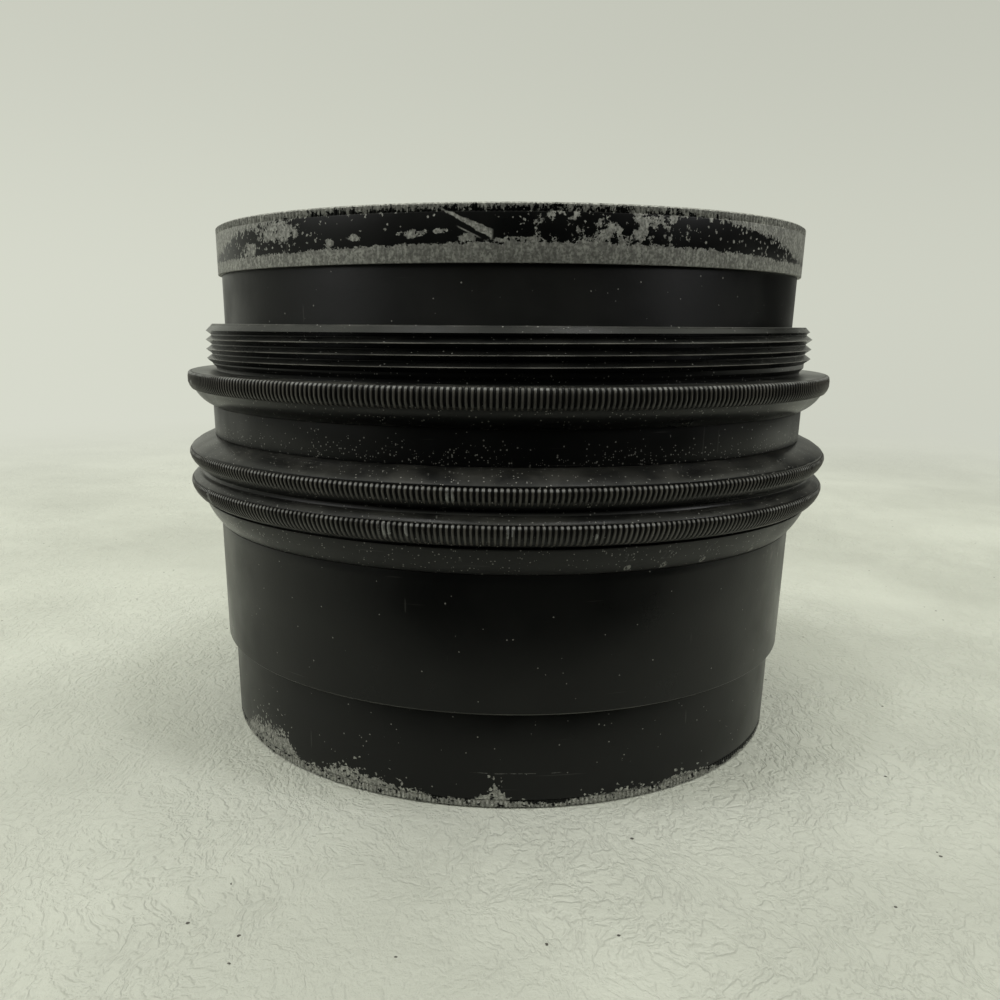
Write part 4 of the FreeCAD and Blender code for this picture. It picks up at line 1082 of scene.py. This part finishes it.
def bead_outline(centre, full, foot):
    shape = [(-1.75, -1.8, 0.5), (-1.0, -1.45, 1.0), (-0.5, -0.9, 1.0), (-0.16, -0.3, 1.0), (0.0, 0.25, 1.0),
             (-0.04, 0.66, 1.0), (-0.2, 0.92, 1.0), (-0.48, 1.04, 0.6)]
    scale = foot / REAR_BEAD_FOOT
    return [(full + inward, centre + height * (scale if height < 0 else 1.0), cut)
            for inward, height, cut in shape]


for name, bead, foot in (("iris_ring_front_knurl", FRONT_BEAD, FRONT_BEAD_FOOT),
                         ("iris_ring_rear_knurl", REAR_BEAD, REAR_BEAD_FOOT)):
    knurl(name, bead_outline(bead, BEAD_RADIUS, foot), RIB_DEPTH, KNURL_ROOT, RIB_COUNT, "iris_control",
          ring_knurl_enamel_and_glints)

# %% [markdown]
# The mounting ring's knurl is flatter: a straight band that only rounds off towards the flare below and the
# shoulder above. It uses the same rib and the same tree, with another outline.

# %% Knurl of the mounting ring
MOUNT_RADIUS = 55.3
mount_edge = [
    (54.2, MOUNT_FRONT + 2.62, 0.6),
    (54.78, MOUNT_FRONT + 2.82, 1.0),
    (MOUNT_RADIUS - 0.2, MOUNT_FRONT + 3.3, 1.0),
    (MOUNT_RADIUS, MOUNT_FRONT + 3.9, 1.0),
    (MOUNT_RADIUS, MOUNT_FRONT + 4.7, 1.0),
    (MOUNT_RADIUS - 0.1, SHOULDER - 0.3, 1.0),
    (MOUNT_RADIUS - 0.3, SHOULDER - 0.1, 1.0),
    (MOUNT_RADIUS - 0.6, SHOULDER - 0.02, 0.6),
]
knurl("mount_ring_knurl", mount_edge, RIB_DEPTH, KNURL_ROOT, RIB_COUNT, "lens_barrel", mount_knurl_enamel_and_glints)

# %% [markdown]
# The serrations at the foot of the front cell and along the rear rim are much finer: short, shallow teeth.
# They share the tree, with another rib and the worn finish of the cell that carries them.

# %% Serrations
FINE_COUNT = 460
FINE_DEPTH = 0.25
foot_rib = [
    (FRONT_RADIUS - 0.35, FRONT_RIM + 0.12, 0.5),
    (FRONT_RADIUS, FRONT_RIM + 0.3, 1.0),
    (FRONT_RADIUS, FRONT_RIM + RIB_HEIGHT, 1.0),
    (FRONT_RADIUS - 0.1, FRONT_RIM + RIB_HEIGHT + 0.22, 0.4),
]
knurl("front_cell_serration", foot_rib, FINE_DEPTH, FRONT_RADIUS - 0.7, FINE_COUNT, "lens_barrel",
      worn_front_enamel)
rim_rib = [
    (REAR_RADIUS - 0.1, REAR_RIM - 1.18, 0.4),
    (REAR_RADIUS, REAR_RIM - 0.98, 1.0),
    (REAR_RADIUS, REAR_RIM - 0.22, 1.0),
    (REAR_RADIUS - 0.35, REAR_RIM - 0.02, 0.8),
]
knurl("rear_cell_serration", rim_rib, FINE_DEPTH, REAR_RADIUS - 0.8, FINE_COUNT, "lens_barrel",
      worn_rear_enamel)

# %% [markdown]
# A thread is a profile that follows a helix, so it is grown as one: a spiral curve with its normals kept
# upright, and a sharp triangle swept along it. It rises to the right, like any ordinary right-hand thread.
# At both ends a cone is then cut off the ridge, as the chamfer and the relief do on the real ring.

# %% Thread tree
PROFILE_SINK = 0.3


def make_thread_tree():
    tree, given, result = start_tree("thread_on_a_core", [
        ("Radius", "NodeSocketFloat"), ("Depth", "NodeSocketFloat"), ("Half Width", "NodeSocketFloat"),
        ("Height", "NodeSocketFloat"), ("Turns", "NodeSocketFloat"), ("Start", "NodeSocketFloat"),
        ("Finish", "NodeSocketMaterial")])
    helix = add(tree, "GeometryNodeCurveSpiral", {
        "Resolution": 256, "Rotations": given["Turns"], "Start Radius": given["Radius"],
        "End Radius": given["Radius"], "Height": given["Height"], "Reverse": True})
    lift = add(tree, "ShaderNodeCombineXYZ", {"Z": given["Start"]})
    raised = add(tree, "GeometryNodeTransform", {"Geometry": helix.outputs[0], "Translation": lift.outputs[0]})
    upright = add(tree, "GeometryNodeSetCurveNormal", {"Curve": raised.outputs[0]}, mode="Z_UP")
    downwards = calc(tree, "MULTIPLY", given["Half Width"], -1.0)
    crest = add(tree, "ShaderNodeCombineXYZ", {"X": given["Depth"]})
    upper = add(tree, "ShaderNodeCombineXYZ", {"X": 0.0, "Y": given["Half Width"]})
    deep = add(tree, "ShaderNodeCombineXYZ", {"X": -PROFILE_SINK * MM})
    lower = add(tree, "ShaderNodeCombineXYZ", {"X": 0.0, "Y": downwards})
    corner = add(tree, "GeometryNodeCurvePrimitiveQuadrilateral", mode="POINTS")
    for name, point in (("Point 1", crest), ("Point 2", upper), ("Point 3", deep), ("Point 4", lower)):
        tree.links.new(point.outputs[0], corner.inputs[name])
    swept = add(tree, "GeometryNodeCurveToMesh", {
        "Curve": upright.outputs[0], "Profile Curve": corner.outputs[0], "Fill Caps": True})
    finished = add(tree, "GeometryNodeSetMaterial", {
        "Geometry": swept.outputs[0], "Material": given["Finish"]})
    tree.links.new(finished.outputs[0], result["Geometry"])
    return tree


thread_tree = make_thread_tree()


# %% [markdown]
# The thread is glossier than the barrel. Its crests are painted pale, partly paint worn off and partly a painted
# highlight. The material tells a crest by its distance from the axis. One crest shows in front just under the
# chamfer, and the turns are counted from there, up and down.

# %% Thread
CREST_METAL_AND_SHEEN = (0.17, 0.165, 0.15, 1)


def make_thread_enamel():
    material, tree, shader, place = start_material("thread_enamel_and_sheen")
    crest = ramp(tree, round_reach(tree, place), THREAD_RADIUS - 0.16, THREAD_RADIUS - 0.05)
    uneven = ramp(tree, noise(tree, place, 190.0, 3.0), 0.3, 0.65, 0.35, 1.0)
    paint = enamel_colour(tree, place, dust_high=0.12, specks=0.03)
    # Painted highlight on the crests, partly bare metal where the paint has gone.
    crest_sheen = calc(tree, "MULTIPLY", crest, uneven)
    tree.links.new(blend_colours(tree, crest_sheen, paint, CREST_METAL_AND_SHEEN), shader.inputs["Base Color"])
    enamel_surface(tree, shader, place, 0.20, 0.34)
    return material


thread_enamel_and_sheen = make_thread_enamel()
CREST_IN_FRONT = THREAD_REAR - 0.7
TURNS_BELOW = 3.75
TURNS_ABOVE = 0.75
CREST_HALF_WIDTH = 0.68
thread_low = CREST_IN_FRONT - TURNS_BELOW * THREAD_PITCH
thread_turns = TURNS_BELOW + TURNS_ABOVE
mount_thread = grow("mount_thread_helix", thread_tree, {
    "Radius": CORE_RADIUS * MM, "Depth": THREAD_DEPTH * MM, "Half Width": CREST_HALF_WIDTH * MM,
    "Height": thread_turns * THREAD_PITCH * MM, "Turns": thread_turns,
    "Start": thread_low * MM, "Finish": thread_enamel_and_sheen})
AROUND = THREAD_RADIUS + 2.0
OVERRUN_REAR = 2.5
OVERRUN_FRONT = 1.5
chamfer_cone = [
    (THREAD_RADIUS, THREAD_REAR - THREAD_CHAMFER), (AROUND, THREAD_REAR - THREAD_CHAMFER),
    (AROUND, THREAD_REAR + OVERRUN_REAR),
    (THREAD_RADIUS - THREAD_CHAMFER - OVERRUN_REAR, THREAD_REAR + OVERRUN_REAR)]
relief_cone = [
    (THREAD_RADIUS - RELIEF_DEPTH - OVERRUN_FRONT, RELIEF_REAR - OVERRUN_FRONT),
    (AROUND, RELIEF_REAR - OVERRUN_FRONT), (AROUND, RELIEF_REAR + RELIEF_DEPTH),
    (THREAD_RADIUS, RELIEF_REAR + RELIEF_DEPTH)]
cut_from(mount_thread, lathe_mesh("chamfer_cone", chamfer_cone))
cut_from(mount_thread, lathe_mesh("relief_cone", relief_cone))
thread_reach = max(math.hypot(v.co.x, v.co.y) for v in mount_thread.data.vertices)
thread_heights = [v.co.z for v in mount_thread.data.vertices]
print("thread reaches", round(thread_reach / MM, 3), "mm, from", round(min(thread_heights) / MM, 2),
      "to", round(max(thread_heights) / MM, 2))
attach(mount_thread, "lens_barrel")

# %% [markdown]
# The glass elements are turned like everything else, but finely and without easing, so that reflections run
# smoothly over them. Their poles and rims come from the CAD boxes, and their curves follow from the depth of
# each curved side.

# %% Glass


def dome(pole, rim, clear, steps=24):
    depth = rim - pole
    curve = (clear ** 2 + depth ** 2) / (2 * abs(depth))
    side = 1 if depth > 0 else -1
    heights = []
    for step in range(steps + 1):
        radius = clear * step / steps
        heights.append((radius, pole + side * (curve - math.sqrt(curve ** 2 - radius ** 2))))
    return heights


def turn_glass(name, node, outline):
    piece = place_piece(name, lathe_mesh(name, outline), coated_glass)
    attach(piece, "lens_barrel")
    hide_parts(node)
    print(f"{name}: {len(piece.data.polygons)} faces")


front_rim_level = front_ring_high
turn_glass("front_glass", "front_element", dome(front_glass_low, front_rim_level, CLEAR_FRONT) + [
    (FRONT_GLASS_RADIUS, front_rim_level), (FRONT_GLASS_RADIUS, front_glass_high), (0.0, front_glass_high)])

# %% [markdown]
# The rear group is two elements cemented together. Both use the same curve where they meet, with a fiftieth
# of a millimetre between them for the cement.

# %% Cemented pair
PAIR_FRONT_CURVE = 400.0
CEMENT = 0.02
pair_front_high = height_of("rear_pair_front_element")[1]
pair_rear_low, pair_rear_high = height_of("rear_pair_rear_element")
PAIR_FRONT_DEPTH = PAIR_FRONT_CURVE - math.sqrt(PAIR_FRONT_CURVE ** 2 - CLEAR_REAR ** 2)
cemented = dome(pair_rear_low, pair_front_high, PAIR_RADIUS)
turn_glass("rear_pair_front_glass", "rear_pair_front_element",
           dome(pair_low + PAIR_FRONT_DEPTH, pair_low, CLEAR_REAR) + [(PAIR_RADIUS, pair_low)]
           + [(radius, height - CEMENT) for radius, height in reversed(cemented)])
turn_glass("rear_pair_rear_glass", "rear_pair_rear_element",
           cemented + [(PAIR_RADIUS, pair_ring_low)]
           + list(reversed(dome(pair_rear_high, pair_ring_low, CLEAR_REAR))))

# %% [markdown]
# The scale is engraved on the flare of the iris ring and filled with paint that has mostly gone. Only the
# numbers of the usual stop series are there, each over its dot, and the index stroke on the front barrel
# shows the stop that is set. The angles between the stops follow from the iris: a leaf uncovers the opening
# as it turns about its pivot, and the ring turns a fixed number of times faster.

# %% Stops and their bearings
STOPS = ["4.5", "5.6", "8", "11", "16", "22", "32"]
OPEN_RADIUS = 29.0
PIVOT_RADIUS = 43.0
coupling = frame["record"]["behaviour"]["couplings"][0]
RING_PER_LEAF = 1 / coupling["ratio"]
INDEX_BEARING = 59.0


def leaf_turn(stop):
    hole = OPEN_RADIUS * 4.5 / stop
    return 2 * math.degrees(math.asin((OPEN_RADIUS - hole) / (2 * PIVOT_RADIUS)))


def stop_bearing(stop):
    return INDEX_BEARING - RING_PER_LEAF * (leaf_turn(stop) - leaf_turn(8.0))


for stop in STOPS:
    print(f"stop {stop}: {stop_bearing(float(stop)):.1f} degrees right of the camera side")

# %% [markdown]
# The white paint of the scale has mostly gone, and what is left is grey with dirt. A noise with a threshold
# keeps only part of each figure and a little more of each dot.

# %% Worn scale paint
OLD_PAINT_DARK, OLD_PAINT_PALE = (0.20, 0.20, 0.185, 1), (0.34, 0.34, 0.32, 1)


def make_scale_paint(name, left_over):
    material, tree, shader, place = start_material(name)
    kept = ramp(tree, noise(tree, place, 1500.0, 5.0, 0.65), left_over, left_over + 0.08)
    paint = blend_colours(tree, noise(tree, place, 700.0, 2.0), OLD_PAINT_DARK, OLD_PAINT_PALE)
    tree.links.new(blend_colours(tree, kept, ENAMEL, paint), shader.inputs["Base Color"])
    tree.links.new(ramp(tree, kept, 0.0, 1.0, 0.4, 0.7), shader.inputs["Roughness"])
    return material


figure_paint = make_scale_paint("figure_paint", 0.53)
dot_paint = make_scale_paint("dot_paint", 0.44)

# %% [markdown]
# A figure starts as flat text, becomes a mesh, and is then laid on the flare corner by corner: its width
# turns into an angle, its height into a place on the hollow flare.

# %% Figures and dots
MARK_LIFT = 0.012


def flare_radius(height):
    for low, high in zip(flare, flare[1:]):
        if low[1] <= height <= high[1]:
            share = (height - low[1]) / (high[1] - low[1])
            return low[0] + (high[0] - low[0]) * share
    return flare[-1][0]


def wrap_on_ring(mesh, bearing, level, surface):
    for corner in mesh.vertices:
        across = corner.co.x / MM
        height = level + corner.co.y / MM
        radius = surface(height) + MARK_LIFT
        angle = math.radians(bearing - 90) + across / radius
        corner.co = Vector((radius * math.cos(angle), radius * math.sin(angle), height)) * MM


def text_mesh(words, size):
    curve = bpy.data.curves.new("figure", "FONT")
    curve.body = words
    curve.size = size * MM
    curve.align_x = "CENTER"
    curve.align_y = "CENTER"
    curve.resolution_u = 4
    holder = bpy.data.objects.new("figure", curve)
    bpy.context.scene.collection.objects.link(holder)
    bpy.context.view_layer.update()
    mesh = bpy.data.meshes.new_from_object(holder.evaluated_get(bpy.context.evaluated_depsgraph_get()))
    bpy.data.objects.remove(holder)
    return mesh


def disc_mesh(radius, corners=20):
    angles = [2 * math.pi * corner / corners for corner in range(corners)]
    ring = [(radius * math.cos(angle) * MM, radius * math.sin(angle) * MM, 0) for angle in angles]
    mesh = bpy.data.meshes.new("dot")
    mesh.from_pydata(ring, [], [list(range(corners))])
    return mesh


DOT_LEVEL = RING_FRONT + 0.75
DOT_RADIUS = 0.5
FIGURE_LEVEL = RING_FRONT + 2.45
FIGURE_SIZE = 1.9
FIGURE_SHIFT = 0.4
for stop in STOPS:
    label = stop.replace(".", "_")
    bearing = stop_bearing(float(stop))
    figure = text_mesh(stop, FIGURE_SIZE)
    wrap_on_ring(figure, bearing - FIGURE_SHIFT, FIGURE_LEVEL, flare_radius)
    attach(place_piece("scale_figure_" + label, figure, figure_paint), "iris_control")
    dot = disc_mesh(DOT_RADIUS)
    wrap_on_ring(dot, bearing, DOT_LEVEL, flare_radius)
    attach(place_piece("scale_dot_" + label, dot, dot_paint), "iris_control")

# %% [markdown]
# The ring turns past one fixed mark, a short stroke on the front barrel. It stays on that body when the ring
# moves, so it isn't part of the scale.

# %% Index stroke
STROKE_HALF_WIDTH = 0.2
STROKE_HALF_LENGTH = 1.3
STROKE_LEVEL = BARREL_REAR - 1.9
stroke = bpy.data.meshes.new("index_stroke")
stroke.from_pydata([(side * STROKE_HALF_WIDTH * MM, end * STROKE_HALF_LENGTH * MM, 0)
                    for side, end in ((-1, -1), (1, -1), (1, 1), (-1, 1))], [], [[0, 1, 2, 3]])
wrap_on_ring(stroke, INDEX_BEARING, STROKE_LEVEL, lambda height: BARREL_RADIUS)
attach(place_piece("index_stroke", stroke, figure_paint), "lens_barrel")
print("scale marks:", 2 * len(STOPS) + 1)

# %% [markdown]
# The remaining CAD nodes keep their shape. Each gets the finish that such a piece has.

# %% Finishes for the CAD nodes
INNER_FINISH = {
    "front_retaining_ring": matt_black,
    "front_barrel_grub_screw": screw_steel,
    "second_cell": matt_black,
    "second_retaining_ring": matt_black,
    "iris_base_ring": matt_black,
    "iris_spacer_ring": matt_black,
    "iris_drive_ring": matt_black,
    "iris_drive_screw": screw_steel,
    "rear_retaining_ring": matt_black,
    "second_element": coated_glass,
}
for node, piece in frame["nodes"].items():
    if node.startswith("iris_leaf"):
        finish = blued_steel
    elif node in INNER_FINISH:
        finish = INNER_FINISH[node]
    else:
        continue
    piece.data.materials.clear()
    piece.data.materials.append(finish)
print("finished", len(INNER_FINISH), "inner nodes and the leaves")

# %% [markdown]
# The lens stands on a sheet of pale soft leather. Its wrinkles are only a bump, because the camera is never
# near enough to see their outline. Near the lens the sheet is lit like any surface and takes its shadow.
# Further off it fades into the plain pale tone of the room, which Light Path gives to what the camera sees.
# That tone carries painted light: it is a little brighter on the left, and brightest where sheet and room meet.
# The four levels are used once more by the world, so that no line shows between them.

# %% Table
PALE = (0.585, 0.600, 0.520, 1)
LEATHER_DARK = (0.50, 0.508, 0.458, 1)
LEATHER_LIGHT = (0.64, 0.65, 0.59, 1)
CRUMB = (0.07, 0.065, 0.055, 1)
CRUMB_SHARE = 0.0012
CREASE_DEPTH = 0.0006
FADE_FROM, FADE_TO = 0.16, 0.6
LEVEL_LEFT, LEVEL_RIGHT = 1.03, 0.93
LEVEL_LOW, LEVEL_HIGH = 1.13, 0.98


def make_table():
    material, tree, shader, place = start_material("pale_leather")
    parts = add(tree, "ShaderNodeSeparateXYZ", {"Vector": place})
    # Painted shade: the leather turns darker towards its near edge, standing in for the shadow of the dark room in
    # front.
    painted_front_shade = ramp(tree, parts.outputs["Y"], -0.1, 0.0, 0.35, 0.0)
    tone = calc(tree, "SUBTRACT", ramp(tree, noise(tree, place, 11.0, 4.0), 0.3, 0.7), painted_front_shade)
    colour = blend_colours(tree, tone, LEATHER_DARK, LEATHER_LIGHT)
    cells = add(tree, "ShaderNodeTexVoronoi", {"Vector": place, "Scale": 1500.0})
    chance = add(tree, "ShaderNodeSeparateColor", {"Color": cells.outputs["Color"]})
    crumb = calc(tree, "MULTIPLY", calc(tree, "LESS_THAN", chance.outputs[0], CRUMB_SHARE),
                 calc(tree, "LESS_THAN", cells.outputs["Distance"], 0.4))
    tree.links.new(blend_colours(tree, crumb, colour, CRUMB), shader.inputs["Base Color"])
    shader.inputs["Roughness"].default_value = 0.6
    creased = ramp(tree, noise(tree, place, 14.0, 3.0), 0.36, 0.60, 0.3, 1.0)
    bent = add(tree, "ShaderNodeTexNoise", {"Vector": place, "Scale": 45.0, "Detail": 4.0})
    shifted = add(tree, "ShaderNodeVectorMath", {0: bent.outputs["Color"], 1: (0.016,) * 3, 2: place},
                  operation="MULTIPLY_ADD")
    sheet = stretched(tree, shifted.outputs[0], 1.3, 0.75, 1.0)
    wrinkled = noise(tree, sheet, 330.0, 3.0)
    ridge = calc(tree, "ABSOLUTE", calc(tree, "SUBTRACT", wrinkled, 0.5))
    crease = calc(tree, "MULTIPLY", ramp(tree, ridge, 0.0, 0.1), creased)
    swollen = noise(tree, sheet, 150.0, 3.0)
    pores = noise(tree, place, 900.0, 4.0, 0.65)
    height = calc(tree, "MULTIPLY_ADD", pores, 1.1, calc(tree, "MULTIPLY_ADD", swollen, 2.4, crease))
    bump = add(tree, "ShaderNodeBump", {"Height": height, "Strength": 0.5, "Distance": CREASE_DEPTH})
    tree.links.new(bump.outputs["Normal"], shader.inputs["Normal"])
    far = add(tree, "ShaderNodeVectorMath", {0: place}, operation="LENGTH").outputs["Value"]
    seen = add(tree, "ShaderNodeLightPath")
    shown = calc(tree, "MAXIMUM", seen.outputs["Is Camera Ray"], seen.outputs["Is Transmission Ray"])
    shown = calc(tree, "MAXIMUM", shown, seen.outputs["Is Glossy Ray"])
    # Painted light on the backdrop: brighter on the left than on the right, and brighter low down.
    aside = calc(tree, "DIVIDE", parts.outputs["X"], far)
    level = ramp(tree, aside, -0.6, 0.6, LEVEL_LEFT * LEVEL_LOW, LEVEL_RIGHT * LEVEL_LOW)
    pale = add(tree, "ShaderNodeEmission", {"Color": PALE, "Strength": level})
    share = calc(tree, "MULTIPLY", shown, ramp(tree, far, FADE_FROM, FADE_TO))
    mixed = add(tree, "ShaderNodeMixShader", {0: share, 1: shader.outputs[0], 2: pale.outputs[0]})
    tree.links.new(mixed.outputs[0], tree.nodes["Material Output"].inputs["Surface"])
    return material


# The sheet ends just below the picture's lower edge, because the lens mirrors a dark room in front of it.
TABLE_HALF_WIDTH = 3.0
TABLE_NEAR = -0.1
TABLE_FAR = 6.0
table_corners = [(-TABLE_HALF_WIDTH, TABLE_NEAR, 0), (TABLE_HALF_WIDTH, TABLE_NEAR, 0),
                 (TABLE_HALF_WIDTH, TABLE_FAR, 0), (-TABLE_HALF_WIDTH, TABLE_FAR, 0)]
table_mesh = bpy.data.meshes.new("table")
table_mesh.from_pydata(table_corners, [], [[0, 1, 2, 3]])
table = place_piece("table", table_mesh, make_table())

# %% [markdown]
# Two soft windows stand at the sides, a little nearer to the camera than the lens, and make the two faint
# shadows that run outwards. Two small ceiling lamps give the glints on the thread and on the slopes of the
# knurls. All four are weak, because most of the light comes from the room itself.

# %% Lamps


def soft_lamp(name, place, aim, width, height, watts):
    data = bpy.data.lights.new(name, "AREA")
    data.shape = "RECTANGLE"
    data.size = width
    data.size_y = height
    data.energy = watts
    lamp = bpy.data.objects.new(name, data)
    bpy.context.scene.collection.objects.link(lamp)
    lamp.location = place
    lamp.rotation_mode = "QUATERNION"
    lamp.rotation_quaternion = (Vector(aim) - Vector(place)).to_track_quat("-Z", "Y")


for side, place in (("left", (-0.9, -0.3, 0.6)), ("right", (0.9, -0.36, 0.6))):
    soft_lamp("window_" + side, place, (0, 0, 0.02), width=0.4, height=0.3, watts=1.6)
for side, place in (("left", (-0.35, -0.2, 1.1)), ("right", (0.3, -0.2, 1.1))):
    soft_lamp("ceiling_" + side, place, (0, 0, 0.05), width=0.12, height=0.12, watts=1.4)

# %% [markdown]
# The room is one world shader with two faces. Light and reflections see a pale ceiling, a pale back wall and a
# faint left wall, while the right side and the camera's side are dark. That is why the cylinders are black in the
# middle and grey towards their sides. The camera, straight or through glass, sees a pale backdrop with painted
# light on it, a little brighter on the left and low down, as on the sheet.

# %% World
ROOM_DARK = 0.02
CEILING_LIGHT = 2.2
BACK_LIGHT = 1.1
LEFT_LIGHT = 0.4
world = bpy.data.worlds.new("room")
bpy.context.scene.world = world
world.use_nodes = True
sky = world.node_tree
background = sky.nodes["Background"]
direction = add(sky, "ShaderNodeTexCoord").outputs["Generated"]
parts = add(sky, "ShaderNodeSeparateXYZ", {"Vector": direction})
ceiling = ramp(sky, parts.outputs["Z"], 0.4, 0.8, ROOM_DARK, CEILING_LIGHT)
leftwards = calc(sky, "MULTIPLY_ADD", parts.outputs["X"], -0.3, parts.outputs["Y"])
back_wall = ramp(sky, leftwards, 0.45, 0.9, ROOM_DARK, BACK_LIGHT)
left_wall = ramp(sky, parts.outputs["X"], -0.55, -0.85, ROOM_DARK, LEFT_LIGHT)
room_light = calc(sky, "MAXIMUM", ceiling, calc(sky, "MAXIMUM", back_wall, left_wall))
# Painted light on the backdrop, as on the sheet: brighter low down and on the left.
fading_up = ramp(sky, parts.outputs["Z"], 0.0, 0.32, LEVEL_LOW, LEVEL_HIGH)
fading_right = ramp(sky, parts.outputs["X"], -0.6, 0.6, LEVEL_LEFT, LEVEL_RIGHT)
seen = add(sky, "ShaderNodeLightPath")
shown = calc(sky, "MAXIMUM", seen.outputs["Is Camera Ray"], seen.outputs["Is Transmission Ray"])
strength = add(sky, "ShaderNodeMix", {"Factor": shown, "A": room_light,
                                      "B": calc(sky, "MULTIPLY", fading_up, fading_right)})
sky.links.new(strength.outputs[0], background.inputs["Strength"])
background.inputs["Color"].default_value = PALE
bpy.context.scene.view_settings.view_transform = "Standard"
lamps = [thing.name for thing in bpy.context.scene.objects if thing.type == "LIGHT"]
print("lamps:", lamps, "and the world named", world.name)
